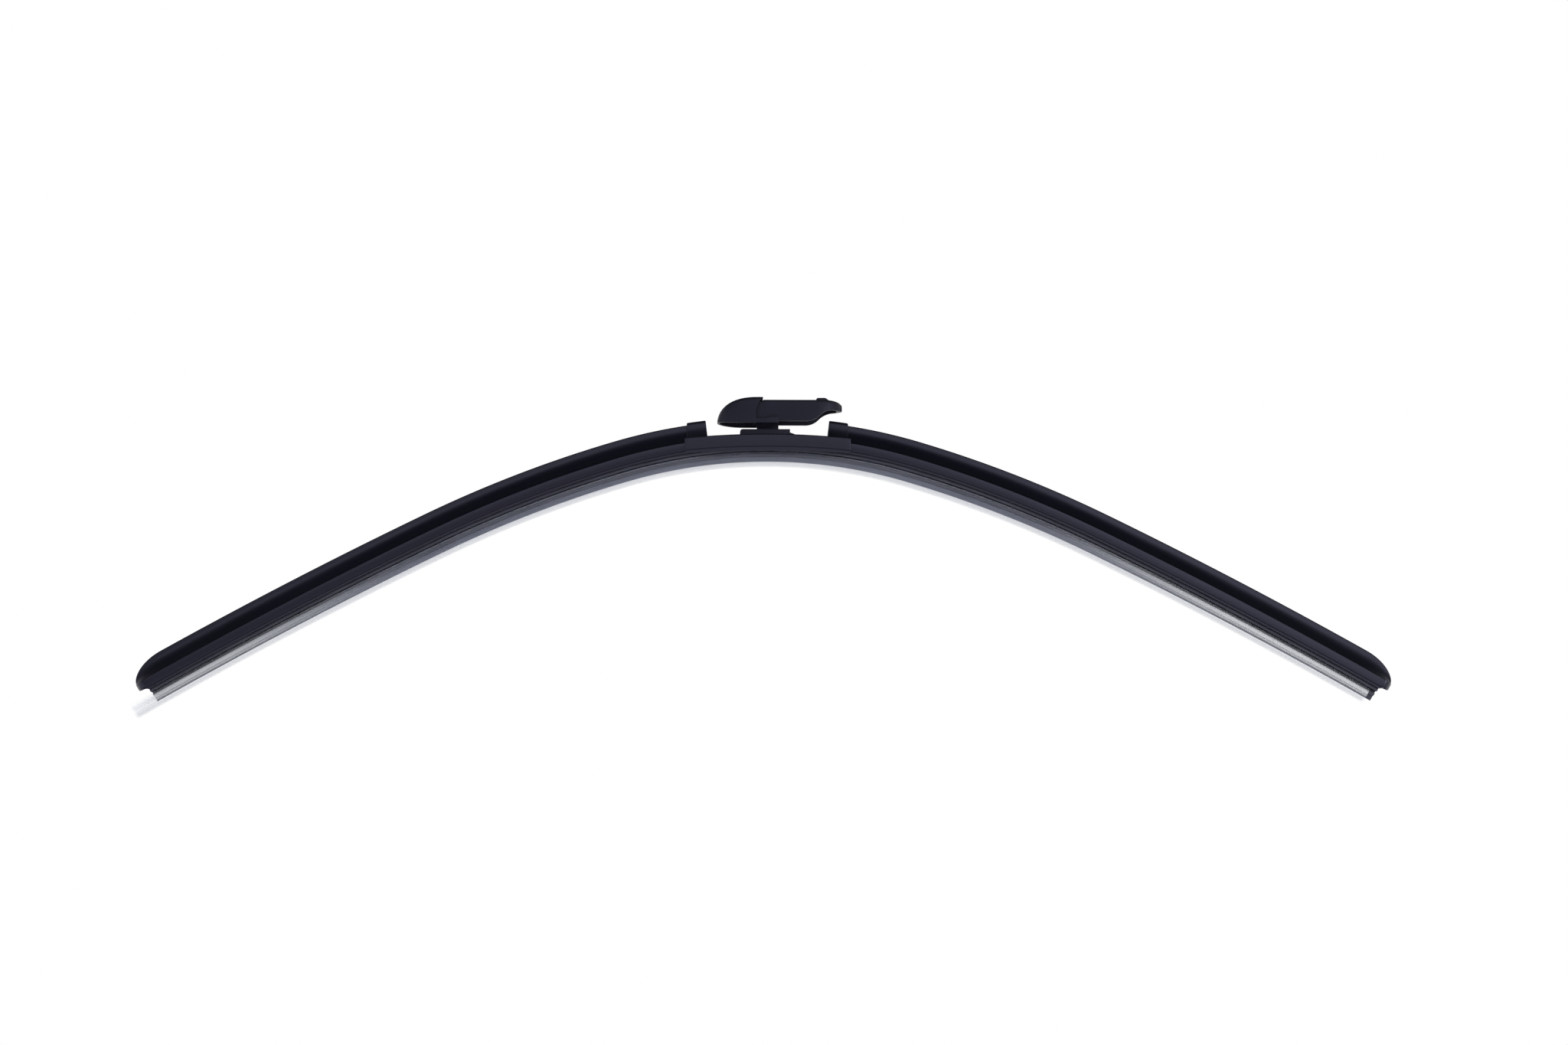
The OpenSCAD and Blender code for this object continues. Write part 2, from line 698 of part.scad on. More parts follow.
module nose_cover() {
    lift = body_w / 2 + 4;
    color("#17181b")
        intersection() {
            difference() {
                nose_shell(0, 0);
                nose_shell(nose_proud - 0.08, 1);
            }
            translate([0, lift, 0])
                rotate([90, 0, 0])
                    linear_extrude(2 * lift)
                        polygon([
                            [-nose_x - 2, -nose_rim - 1], [-nose_x - 2, nose_proud + 1],
                            [-nose_seam, nose_proud + 1], [-nose_seam, nose_proud - 0.6],
                            [-nose_seam - 0.9, 0.2], [-nose_seam - 2.9, -3.4],
                            [-nose_seam - 3.3, -6], [-nose_seam - 3.3, -nose_rim + 2.05],
                            [-0.9, -nose_rim + 2.05], [1.4, -nose_rim + 2.75],
                            [arm_x, -nose_rim + 2.75], [arm_x, -nose_rim - 1]
                        ]);
        }
}

module lock_button() {
    w = button_w;
    x0 = button_x - button_len / 2;
    color("#141518")
        union() {
            translate([0, w / 2, 0])
                rotate([90, 0, 0])
                    linear_extrude(w)
                        polygon([
                            [root_x, tongue_z - tongue_t], [root_x, tongue_z],
                            [x0, tongue_z], [x0, button_h - 0.5], [x0 + 0.6, button_h],
                            [x0 + button_len - 1.9, button_h], [x0 + button_len, 0.2],
                            [x0 + button_len, tongue_z - tongue_t]
                        ]);
            translate([root_x, 0, root_z])
                rotate([90, 0, 0])
                    cylinder(r = root_r, h = w, center = true);
        }
}

wiper_rubber();
rail(near);  // rail_front
rail(far);  // rail_rear
spoiler(near);  // spoiler_left
spoiler(far);  // spoiler_right
end_cap(near);  // end_cap_left
end_cap(far);  // end_cap_right
bridge_cover();
saddle();
pivot_pin();
adapter_body();
nose_cover();
lock_button();
edge_guard();
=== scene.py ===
import sys

import logging
import math
from collections.abc import Callable, Iterable, Iterator, Sequence
from contextlib import contextmanager
from dataclasses import dataclass
from enum import Enum

import bmesh
import bpy
from mathutils import Matrix, Vector


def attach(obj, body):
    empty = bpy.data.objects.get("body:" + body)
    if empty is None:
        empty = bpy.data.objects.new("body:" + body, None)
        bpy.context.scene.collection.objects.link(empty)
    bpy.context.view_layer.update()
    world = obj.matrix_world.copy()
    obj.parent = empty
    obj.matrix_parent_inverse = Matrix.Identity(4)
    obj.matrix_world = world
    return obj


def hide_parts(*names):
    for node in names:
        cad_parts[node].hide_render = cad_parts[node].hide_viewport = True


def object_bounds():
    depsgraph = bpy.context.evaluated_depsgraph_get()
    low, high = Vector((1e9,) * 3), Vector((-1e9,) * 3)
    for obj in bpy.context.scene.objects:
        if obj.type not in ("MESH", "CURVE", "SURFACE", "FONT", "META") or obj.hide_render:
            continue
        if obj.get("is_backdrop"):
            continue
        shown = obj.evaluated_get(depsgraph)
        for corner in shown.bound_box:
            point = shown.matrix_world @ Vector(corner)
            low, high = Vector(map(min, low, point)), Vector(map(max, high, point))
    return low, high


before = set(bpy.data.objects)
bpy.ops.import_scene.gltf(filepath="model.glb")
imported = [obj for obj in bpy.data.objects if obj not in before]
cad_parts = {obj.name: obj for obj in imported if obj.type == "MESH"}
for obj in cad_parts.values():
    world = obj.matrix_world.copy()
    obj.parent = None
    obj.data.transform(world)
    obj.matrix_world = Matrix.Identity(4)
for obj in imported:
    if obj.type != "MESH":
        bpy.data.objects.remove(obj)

LOG = logging.getLogger("wiper_blade")
# The pieces are shaped in millimetres, and the frame is in metres
MM = 0.001
# Name under which a piece keeps how its points lie along, across and over the lip
RUN = "run"
# Turn of an edge above which it stays crisp
CREASE = math.radians(34.0)
# Corner of an outline above which it isn't rounded, and the share of a side that a rounding can take
NEARLY_STRAIGHT = math.radians(176.0)
CORNER_SHARE = 0.46
DISC_CHORDS = 48
# Distance under which points are merged
WELD = 0.004

Colour = tuple[float, float, float]
Place = tuple[float, float, float]
Corner = tuple[float, float, float]
Point = tuple[float, float]
Ring = list[Vector]


class Cut(Enum):
    """How one solid acts on another."""

    JOIN = "UNION"
    CUT = "DIFFERENCE"
    KEEP = "INTERSECT"


class Body(Enum):
    """The bodies of the model that a piece can ride on."""

    BLADE = "blade"
    ADAPTER = "adapter"
    BUTTON = "button"


class Side(Enum):
    """The two ends of the blade, by the sign of their length along it."""

    LEFT = -1
    RIGHT = 1

    def named(self, stem: str) -> str:
        """Returns a name that ends with this side's own."""
        return f"{stem}_{self.name.lower()}"

    def span(self, near: float, far: float) -> list[float]:
        """Returns two distances from the middle as lengths on this side, the lower one first."""
        return sorted((self.value * near, self.value * far))


# Outlines


def clamp(share: float) -> float:
    """Returns a share kept between 0 and 1."""
    return min(1.0, max(0.0, share))


def superellipse(share: float, power: float) -> float:
    """Returns the height of a superellipse of unit size at a share of its width."""
    return max(0.0, 1.0 - clamp(share) ** power) ** (1.0 / power)


def spaced(start: float, end: float, step: float) -> list[float]:
    """Returns even steps from start up to, and without, end."""
    count = max(1, math.ceil((end - start) / step - 1e-6))
    return [start + (end - start) * i / count for i in range(count)]


def arc(centre: Point, radius: float, start: float, end: float, count: int) -> list[Point]:
    """Returns the points of an arc from start to end, in degrees, with count chords."""
    turns = [math.radians(start + (end - start) * i / count) for i in range(count + 1)]
    return [(centre[0] + radius * math.cos(turn), centre[1] + radius * math.sin(turn)) for turn in turns]


def box(x0: float, x1: float, z0: float, z1: float) -> list[Point]:
    """Returns the corners of a rectangle."""
    return [(x0, z0), (x1, z0), (x1, z1), (x0, z1)]


def both_sides(half: Sequence[Corner]) -> list[Corner]:
    """Returns a closed outline from its right half, listed from the bottom up."""
    return [(-a, b, r) for a, b, r in half] + [(a, b, r) for a, b, r in reversed(half)]


def rounded(corners: Sequence[Corner], steps: int = 3) -> list[Point]:
    """Rounds the corners of a closed outline.

    Args:
        corners: The outline's corners as (across, up, radius).
        steps: Chords to each rounded corner.

    Returns:
        The outline's points, with an arc for each corner whose radius is above zero.
    """
    points: list[Point] = []
    for index, (across, up, radius) in enumerate(corners):
        here = Vector((across, up))
        back = Vector(corners[index - 1][:2]) - here
        ahead = Vector(corners[(index + 1) % len(corners)][:2]) - here
        turn = back.angle(ahead) if back.length and ahead.length else math.pi
        if radius <= 0 or turn > NEARLY_STRAIGHT:
            points.append((across, up))
            continue
        reach = min(radius / math.tan(turn / 2), CORNER_SHARE * back.length, CORNER_SHARE * ahead.length)
        bend = reach * math.tan(turn / 2)
        centre = here + (back.normalized() + ahead.normalized()).normalized() * bend / math.sin(turn / 2)
        first = here + back.normalized() * reach - centre
        last = here + ahead.normalized() * reach - centre
        for step in range(steps + 1):
            spoke = first.slerp(last, step / steps, first).normalized() * bend
            points.append((centre.x + spoke.x, centre.y + spoke.y))
    return points


@dataclass(frozen=True)
class Arch:
    """The curve that the lip follows, as three arcs to each side, in millimetres."""

    drop: float = 27.7
    radii: tuple[float, float, float] = (226.0, 545.0, 2260.0)
    turns: tuple[float, float] = (16.6, 9.5)
    steps: tuple[float, float, float] = (3.5, 6.0, 11.0)

    def joints(self) -> Point:
        """Returns the lengths along the curve at which its arcs meet."""
        first = self.radii[0] * math.radians(self.turns[0])
        return first, first + self.radii[1] * math.radians(self.turns[1])

    def centres(self) -> list[Place]:
        """Works the arcs out from the middle outwards.

        Returns:
            The centre of each arc and the turn at which it starts, as (x, z, turn).
        """
        x, z, turn = 0.0, -self.drop - self.radii[0], 0.0
        found = [(x, z, turn)]
        for near, far, more in zip(self.radii, self.radii[1:], self.turns):
            turn += math.radians(more)
            x += (near - far) * math.sin(turn)
            z += (near - far) * math.cos(turn)
            found.append((x, z, turn))
        return found

    def place(self, s: float, y: float, n: float) -> Vector:
        """Puts a point of a section on the blade.

        Args:
            s: Length along the lip from the middle.
            y: Distance behind the middle of the section.
            n: Height over the lip.

        Returns:
            The point in the frame, in millimetres.
        """
        length, starts = abs(s), (0.0, *self.joints())
        index = sum(length > start for start in starts[1:])
        x, z, start = self.centres()[index]
        turn = start + (length - starts[index]) / self.radii[index]
        reach = self.radii[index] + n
        return Vector((math.copysign(x + reach * math.sin(turn), s), y, z + reach * math.cos(turn)))

    def unroll(self, point: Vector) -> Vector:
        """Finds where on the section and along the blade a point of the frame is.

        Args:
            point: The point, in millimetres.

        Returns:
            Its (s, y, n), as place takes them.
        """
        x, length, height = abs(point.x), 0.0, 0.0
        for (cx, cz, start), begin, radius in zip(self.centres(), (0.0, *self.joints()), self.radii):
            turn = math.atan2(x - cx, point.z - cz)
            if turn >= start:
                length = begin + (turn - start) * radius
                height = math.hypot(x - cx, point.z - cz) - radius
        return Vector((math.copysign(length, point.x), point.y, height))

    def stations(self, s0: float, s1: float) -> list[float]:
        """Spaces places along the blade, closer together where it bends more.

        Args:
            s0: First length along the lip.
            s1: Last length along the lip.

        Returns:
            The lengths from s0 to s1.
        """
        first, second = self.joints()
        knots = [-math.inf, -second, -first, first, second, math.inf]
        found: list[float] = []
        for low, high, step in zip(knots, knots[1:], (*reversed(self.steps), *self.steps[1:])):
            a, b = max(s0, low), min(s1, high)
            if b - a > 1e-3:
                found += spaced(a, b, step)
        return found + [s1]

    def sweep(self, s0: float, s1: float, section: Sequence[Point]) -> list[Ring]:
        """Returns the rings of one section swept from s0 to s1."""
        return [[self.place(s, y, n) for y, n in section] for s in self.stations(s0, s1)]

    def height(self, x: float, n: float) -> float:
        """Returns the level of the middle arc's offset n above the place x."""
        return -self.drop - self.radii[0] + math.sqrt((self.radii[0] + n) ** 2 - x * x)


# Solids


def placed(name: str, data: bpy.types.ID) -> bpy.types.Object:
    """Adds an object to the scene.

    Args:
        name: Its name.
        data: The mesh, lamp or camera that it shows.

    Returns:
        The object.
    """
    made = bpy.data.objects.new(name, data)
    bpy.context.scene.collection.objects.link(made)
    return made


@contextmanager
def editing(mesh: bpy.types.Mesh) -> Iterator[bmesh.types.BMesh]:
    """Opens a mesh for changes, and writes them back to it.

    Args:
        mesh: The mesh.

    Yields:
        Its editable copy.
    """
    shell = bmesh.new()
    shell.from_mesh(mesh)
    yield shell
    shell.to_mesh(mesh)
    shell.free()


class Solid:
    """A closed mesh while it is being shaped, in millimetres."""

    def __init__(self, name: str, mesh: bpy.types.Mesh) -> None:
        """Wraps a mesh as a scene object so that modifiers can act on it."""
        self.shape = placed(name, mesh)

    @classmethod
    def loft(cls, name: str, rings: Sequence[Ring]) -> "Solid":
        """Joins rings of equal length into a closed skin with flat ends.

        Args:
            name: Name of the new solid.
            rings: Rings of points, all running the same way round.

        Returns:
            The solid, with its faces turned outwards.
        """
        mesh, count = bpy.data.meshes.new(name), len(rings[0])
        with editing(mesh) as shell:
            rows = [[shell.verts.new(point) for point in ring] for ring in rings]
            for low, high in zip(rows, rows[1:]):
                for k in range(count):
                    shell.faces.new((low[k], low[(k + 1) % count], high[(k + 1) % count], high[k]))
            shell.faces.new(rows[0])
            shell.faces.new(rows[-1])
            bmesh.ops.recalc_face_normals(shell, faces=shell.faces)
        return cls(name, mesh)

    @classmethod
    def prism(cls, name: str, outline: Sequence[Point], half: float, middle: float = 0.0) -> "Solid":
        """Returns a side outline of (x, z) made half wide to each side of a middle across the blade."""
        return cls.loft(name, [[Vector((x, middle + y, z)) for x, z in outline] for y in (-half, half)])

    @classmethod
    def disc(cls, name: str, centre: Point, radius: float, half: float) -> "Solid":
        """Returns a round bar across the blade, about centre as (x, z)."""
        last = DISC_CHORDS - 1
        return cls.prism(name, arc(centre, radius, 0.0, 360.0 * last / DISC_CHORDS, last), half)

    @classmethod
    def from_node(cls, name: str, node: str) -> "Solid":
        """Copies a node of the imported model, with its flat faces made whole again.

        Args:
            name: Name of the new solid.
            node: Name of the node.

        Returns:
            The solid.
        """
        mesh = bpy.data.meshes.new(name)
        with editing(mesh) as shell:
            shell.from_mesh(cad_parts[node].data)
            bmesh.ops.scale(shell, vec=(1 / MM, 1 / MM, 1 / MM), verts=shell.verts)
            bmesh.ops.remove_doubles(shell, verts=shell.verts, dist=WELD / 2)
            bmesh.ops.dissolve_limit(
                shell, angle_limit=math.radians(0.6), verts=shell.verts, edges=shell.edges
            )
        return cls(name, mesh)

    def _settle(self, modifier: bpy.types.Modifier) -> None:
        """Makes a modifier's result the solid's own mesh.

        Args:
            modifier: The modifier, which is used up.
        """
        graph = bpy.context.evaluated_depsgraph_get()
        graph.update()
        old, mesh = self.shape.data, bpy.data.meshes.new_from_object(self.shape.evaluated_get(graph))
        self.shape.modifiers.remove(modifier)
        self.shape.data = mesh
        bpy.data.meshes.remove(old)

    def change(self, kind: Cut, *tools: "Solid") -> "Solid":
        """Joins, cuts or keeps the solid with other solids, which are used up.

        Args:
            kind: What the tools do to this solid.
            *tools: The solids that act on it, one after another.

        Returns:
            This solid.
        """
        for tool in tools:
            modifier = self.shape.modifiers.new("change", "BOOLEAN")
            modifier.operation = kind.value
            modifier.solver = "EXACT"
            modifier.object = tool.shape
            self._settle(modifier)
            spent = tool.shape.data
            bpy.data.objects.remove(tool.shape)
            bpy.data.meshes.remove(spent)
        return self

    def soften(self, width: float, angle: float = 38.0, segments: int = 2) -> "Solid":
        """Rounds every edge that turns by more than angle degrees.

        Args:
            width: Width of the rounding, in millimetres.
            angle: Smallest turn that is rounded, in degrees.
            segments: Chords across the rounding.

        Returns:
            This solid.
        """
        with editing(self.shape.data) as shell:
            bmesh.ops.remove_doubles(shell, verts=shell.verts, dist=WELD)
            bmesh.ops.dissolve_degenerate(shell, edges=shell.edges, dist=WELD)
        modifier = self.shape.modifiers.new("soften", "BEVEL")
        modifier.width = width
        modifier.segments = segments
        modifier.limit_method = "ANGLE"
        modifier.angle_limit = math.radians(angle)
        modifier.miter_outer = "MITER_ARC"
        self._settle(modifier)
        return self

    def finish(
        self, body: Body, finish: "Finish", node: str, arch: Arch | None = None
    ) -> list[bpy.types.Object]:
        """Turns the solid into a finished piece of the scene.

        Args:
            body: Body of the model that it rides on.
            finish: What it is made of.
            node: Node of the model that it stands for.
            arch: Curve along which its finish runs, if it follows one.

        Returns:
            The piece, in a list of its own.
        """
        with editing(self.shape.data) as shell:
            bmesh.ops.recalc_face_normals(shell, faces=shell.faces)
            for face in shell.faces:
                face.smooth = True
            for edge in shell.edges:
                edge.smooth = edge.calc_face_angle(0.0) < CREASE
            if arch is not None:
                layer = shell.verts.layers.float_vector.new(RUN)
                for vertex in shell.verts:
                    vertex[layer] = arch.unroll(vertex.co) * MM
            bmesh.ops.scale(shell, vec=(MM, MM, MM), verts=shell.verts)
        self.shape.data.materials.clear()
        self.shape.data.materials.append(finish.material())
        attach(self.shape, body.value)
        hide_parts(node)
        return [self.shape]


# Finishes


def arithmetic(operation: str, swapped: bool = False) -> Callable[["Wire", "Wire | float"], "Wire"]:
    """Makes the method behind one of the signs of arithmetic.

    Args:
        operation: Operation of the Math node.
        swapped: Whether the other value comes first.

    Returns:
        The method.
    """
    def method(wire: "Wire", other: "Wire | float") -> "Wire":
        """Returns the result of a Math node for the wire and another value."""
        values = (other, wire) if swapped else (wire, other)
        return wire.graph.node("Math", dict(enumerate(values)), operation=operation)

    return method


class Wire:
    """A shader socket on which the signs of arithmetic add Math nodes."""

    __add__ = arithmetic("ADD")
    __radd__ = arithmetic("ADD", swapped=True)
    __sub__ = arithmetic("SUBTRACT")
    __rsub__ = arithmetic("SUBTRACT", swapped=True)
    __mul__ = arithmetic("MULTIPLY")
    __rmul__ = arithmetic("MULTIPLY", swapped=True)
    __truediv__ = arithmetic("DIVIDE")

    def __init__(self, graph: "Graph", socket: bpy.types.NodeSocket | None) -> None:
        """Wraps an output socket of a graph."""
        self.graph = graph
        self.socket = socket

    def smooth(self, low: float, high: float) -> "Wire":
        """Returns 0 below low and 1 above high, with a smooth step between them."""
        ends = {"Value": self, "From Min": low, "From Max": high, "To Min": 0.0, "To Max": 1.0}
        return self.graph.node("MapRange", ends, interpolation_type="SMOOTHSTEP")


class Graph:
    """The node tree of one material or of the world."""

    def __init__(self, tree: bpy.types.NodeTree) -> None:
        """Empties the tree."""
        self.tree = tree
        tree.nodes.clear()

    def node(
        self, kind: str, sockets: dict[str | int, object] | None = None, output: str | int = 0,
        **settings: object,
    ) -> Wire:
        """Adds one node.

        Args:
            kind: Type of the node, without the words that all types begin with.
            sockets: Values or wires by the name or number of an input.
            output: Name or number of the output to return.
            **settings: Its own properties, which are set first; "stops" are a ramp's (place, colour).

        Returns:
            The wire that leaves that output.
        """
        made = self.tree.nodes.new(f"ShaderNode{kind}")
        for name, value in settings.items():
            if name == "stops":
                self._stops(made.color_ramp, value)
            else:
                setattr(made, name, value)
        for key, value in (sockets or {}).items():
            target = made.inputs[key]
            if isinstance(value, Wire):
                self.tree.links.new(value.socket, target)
            elif isinstance(value, tuple) and target.type == "RGBA":
                target.default_value = (*value, 1.0)
            else:
                target.default_value = value
        return Wire(self, made.outputs[output] if made.outputs else None)

    @staticmethod
    def _stops(ramp: bpy.types.ColorRamp, stops: Iterable[tuple[float, Colour]]) -> None:
        """Sets the places and colours of a ramp.

        Args:
            ramp: The ramp, which starts with two stops.
            stops: (place, colour) pairs.
        """
        for index, (place, colour) in enumerate(stops):
            stop = ramp.elements[index] if index < 2 else ramp.elements.new(place)
            stop.position = place
            stop.color = (*colour, 1.0)

    def where(self) -> Wire:
        """Returns the place on the piece, in metres."""
        return self.node("TexCoord", output="Object")

    def run(self) -> Wire:
        """Returns the place along, across and over the lip, in metres."""
        return self.node("Attribute", output="Vector", attribute_name=RUN)

    def axis(self, vector: Wire, number: int) -> Wire:
        """Returns one axis of a vector."""
        return self.node("SeparateXYZ", {0: vector}, number)

    def ray(self, kind: str) -> Wire:
        """Returns 1 for rays of one kind and 0 for others."""
        return self.node("LightPath", output=f"Is {kind} Ray")

    def blend(self, factor: Wire, first: Colour, second: Colour) -> Wire:
        """Mixes two colours by a factor."""
        return self.node("Mix", {0: factor, 6: first, 7: second}, 2, data_type="RGBA")

    def noise(self, vector: Wire, scale: float | Colour, detail: float = 3.0, rough: float = 0.5) -> Wire:
        """Adds smooth noise.

        Args:
            vector: Place at which the noise is read, in metres.
            scale: Waves to the metre, for all axes or as one number for each.
            detail: Number of finer layers.
            rough: Strength of the finer layers.

        Returns:
            The noise, between 0 and 1.
        """
        if isinstance(scale, tuple):
            vector, scale = self.node("VectorMath", {0: vector, 1: scale}, operation="MULTIPLY"), 1.0
        values = {"Vector": vector, "Scale": scale, "Detail": detail, "Roughness": rough}
        return self.node("TexNoise", values)

    def bump(self, height: Wire, strength: float, depth: float) -> Wire:
        """Returns a normal that a height of depth millimetres tilts."""
        return self.node("Bump", {"Strength": strength, "Distance": depth * MM, "Height": height})

    def surface(self, values: dict[str | int, object]) -> None:
        """Ends the material in a Principled shader with these values."""
        self.node("OutputMaterial", {"Surface": self.node("BsdfPrincipled", values)})


@dataclass(frozen=True)
class Finish:
    """What a piece is made of."""

    name: str
    slot: str
    colour: Colour
    roughness: float

    def material(self) -> bpy.types.Material:
        """Makes the finish's material the first time that it is asked for.

        Returns:
            The material.
        """
        known = bpy.data.materials.get(self.name)
        if known is not None:
            return known
        made = bpy.data.materials.new(self.name)
        made.use_nodes = True
        made.diffuse_color = (*self.colour, 1.0)
        self.weave(Graph(made.node_tree))
        return made

    def tones(self, graph: Graph, factor: Wire, low: float, high: float) -> Wire:
        """Returns the colour, which a factor takes from low to high times itself."""
        dark, light = (tuple(part * share for part in self.colour) for share in (low, high))
        return graph.blend(factor, dark, light)

    def weave(self, graph: Graph) -> None:
        """Adds the finish's nodes to a graph."""
        raise NotImplementedError


@dataclass(frozen=True)
class MouldedPlastic(Finish):
    """Satin moulded plastic with a fine spark-eroded grain and faint handling marks."""

    grain: float = 0.22
    depth: float = 0.012
    specular: float = 0.5
    tint: Colour = (0.70, 0.70, 1.0)
    patches: float = 70.0
    scuffs: Colour = (160.0, 900.0, 2600.0)

    def weave(self, graph: Graph) -> None:
        """Adds grain, flow patches and marks to the plastic.

        Args:
            graph: The material's nodes.
        """
        where = graph.where()
        grain = graph.noise(where, 1.0 / (self.grain * MM), 2.5, 0.6)
        patch = graph.noise(where, self.patches)
        marks = graph.noise(where, self.scuffs).smooth(0.62, 0.78)
        graph.surface({
            "Base Color": self.tones(graph, patch, 0.85, 1.18),
            "Roughness": self.roughness + 0.10 * (patch - 0.5) + 0.08 * (grain - 0.5) + 0.06 * marks,
            "Specular IOR Level": self.specular,
            "Specular Tint": self.tint,
            "Normal": graph.bump(grain, 0.45, self.depth),
        })


@dataclass(frozen=True)
class ExtrudedPlastic(Finish):
    """Smooth extruded plastic with hair-fine lines along its run."""

    depth: float = 0.01
    specular: float = 0.5
    tint: Colour = (0.70, 0.70, 1.0)
    die_lines: Colour = (14.0, 3400.0, 3400.0)
    blooms: Colour = (26.0, 120.0, 120.0)
    pores: float = 5200.0

    def weave(self, graph: Graph) -> None:
        """Adds die lines along the run, and a soft bloom over them.

        Args:
            graph: The material's nodes.
        """
        run = graph.run()
        lines = graph.noise(run, self.die_lines, rough=0.6)
        bloom = graph.noise(run, self.blooms)
        pores = graph.noise(run, self.pores, 1.5)
        graph.surface({
            "Base Color": self.tones(graph, bloom, 0.82, 1.2),
            "Roughness": self.roughness + 0.10 * (bloom - 0.5) + 0.10 * (lines - 0.5),
            "Specular IOR Level": self.specular,
            "Specular Tint": self.tint,
            "Normal": graph.bump(lines + 0.35 * pores, 0.4, self.depth),
        })


@dataclass(frozen=True)
class BladeRubber(Finish):
    """Dull rubber with a dusting of graphite."""

    dust: Colour = (0.052, 0.053, 0.068)
    tint: Colour = (0.74, 0.75, 1.0)
    dusting: Colour = (60.0, 500.0, 700.0)
    die_lines: Colour = (9.0, 2600.0, 2600.0)
    pores: float = 3800.0

    def weave(self, graph: Graph) -> None:
        """Adds graphite dusting, die lines and pores to the rubber.

        Args:
            graph: The material's nodes.
        """
        run = graph.run()
        cover = graph.noise(run, self.dusting, 4.0, 0.65).smooth(0.38, 0.7)
        lines = graph.noise(run, self.die_lines, 2.0)
        pores = graph.noise(run, self.pores, 2.0)
        graph.surface({
            "Base Color": graph.blend(cover, self.colour, self.dust),
            "Roughness": self.roughness + 0.14 * cover + 0.08 * (lines - 0.5),
            "Specular Tint": self.tint,
            "Normal": graph.bump(lines + 0.5 * pores, 0.5, 0.012),
        })


@dataclass(frozen=True)
class SpringSteel(Finish):
    """Cold-rolled steel with long rolling lines and a few dull patches."""

    rolling: Colour = (30.0, 2400.0, 2400.0)
    patches: float = 90.0

    def weave(self, graph: Graph) -> None:
        """Adds rolling lines and patches to the steel.

        Args:
            graph: The material's nodes.
        """
        where = graph.where()
        lines = graph.noise(where, self.rolling, rough=0.6)
        patch = graph.noise(where, self.patches)
        graph.surface({
            "Base Color": self.tones(graph, patch, 0.8, 1.0),
            "Metallic": 1.0,
            "Roughness": self.roughness + 0.16 * (lines - 0.5) + 0.12 * (patch - 0.5),
            "Normal": graph.bump(lines, 0.35, 0.008),
        })


@dataclass(frozen=True)
class ClearVinyl(Finish):
    """Clear extruded vinyl that grows paler and shows more towards the ends.

    The films are how much of the vinyl shows at each height, as (height over the lip in millimetres, share)
    pairs: partly the guard's own walls and lips, partly painted highlight and shade bands of the rubber
    behind it.
    """

    # Colour that the vinyl turns towards at the ends, over the lip
    bloom: Colour = (0.86, 0.88, 0.93)
    paler_end_span: Point = (0.13, 0.26)
    shift: float = 0.02
    blend_half: float = 0.0003
    index: float = 2.2
    low: float = -2.2
    span: float = 6.6
    die_lines: Colour = (5.0, 2000.0, 2000.0)
    hazes: Colour = (40.0, 300.0, 300.0)
    # Shares by height: partly the guard's own walls and lips, partly painted highlight and shade bands of
    # the rubber behind
    mid_film_and_painted_bands: tuple[Point, ...] = (
        (-2.2, 0.10), (-1.6, 0.14), (-0.4, 0.14), (-0.2, 0.165), (1.25, 0.165), (1.36, 0.08), (1.48, 0.16),
        (1.6, 0.24), (1.8, 0.08), (2.1, 0.05), (3.0, 0.04), (3.5, 0.025), (3.68, 0.17), (4.1, 0.19),
        (4.3, 0.12),
    )
    # The same at the ends, with the painted highlight and shade bands and a denser film over the lip
    end_film_and_painted_bands: tuple[Point, ...] = (
        (-2.2, 0.10), (-1.6, 0.14), (-0.3, 0.15), (-0.1, 0.10), (0.1, 0.10), (0.35, 0.16), (0.6, 0.26),
        (0.85, 0.34), (1.0, 0.30), (1.15, 0.16), (1.3, 0.17), (1.5, 0.38), (1.75, 0.42), (2.75, 0.37),
        (3.0, 0.22), (3.25, 0.06), (3.6, 0.02), (4.0, 0.06), (4.3, 0.08),
    )

    def film(self, graph: Graph, up: Wire, film: Iterable[Point]) -> Wire:
        """Returns the share of a film at the height up."""
        stops = [((n - self.low) / self.span, (share, share, share)) for n, share in film]
        return graph.node("ValToRGB", {0: (up - self.low * MM) / (self.span * MM)}, stops=stops)

    def weave(self, graph: Graph) -> None:
        """Adds bands by height, partly the guard's own walls and lips and partly painted highlight and
        shade, die lines and paler ends to the vinyl, as a film over what is behind it.

        Args:
            graph: The material's nodes.
        """
        run = graph.run()
        up = graph.axis(run, 2)
        along = graph.node("Math", {0: graph.axis(run, 0) + self.shift}, operation="ABSOLUTE")
        far = along.smooth(*self.paler_end_span)
        lines = graph.noise(run, self.die_lines, rough=0.65)
        haze = graph.noise(run, self.hazes)
        # The film paints highlight and shade bands by height, and shows more towards the ends
        film = self.film(graph, up, self.mid_film_and_painted_bands) * (1.0 - far) + self.film(graph, up, self.end_film_and_painted_bands) * far
        over_lip = up.smooth(-self.blend_half, self.blend_half)
        graph.surface({
            "Base Color": graph.blend(far * over_lip, self.colour, self.bloom),
            "Roughness": self.roughness + 0.10 * (haze - 0.5) + 0.10 * (lines - 0.5),
            "IOR": self.index,
            "Alpha": film + 0.10 * (lines - 0.5) + 0.04 * (haze - 0.5),
            "Normal": graph.bump(lines, 0.3, 0.01),
        })


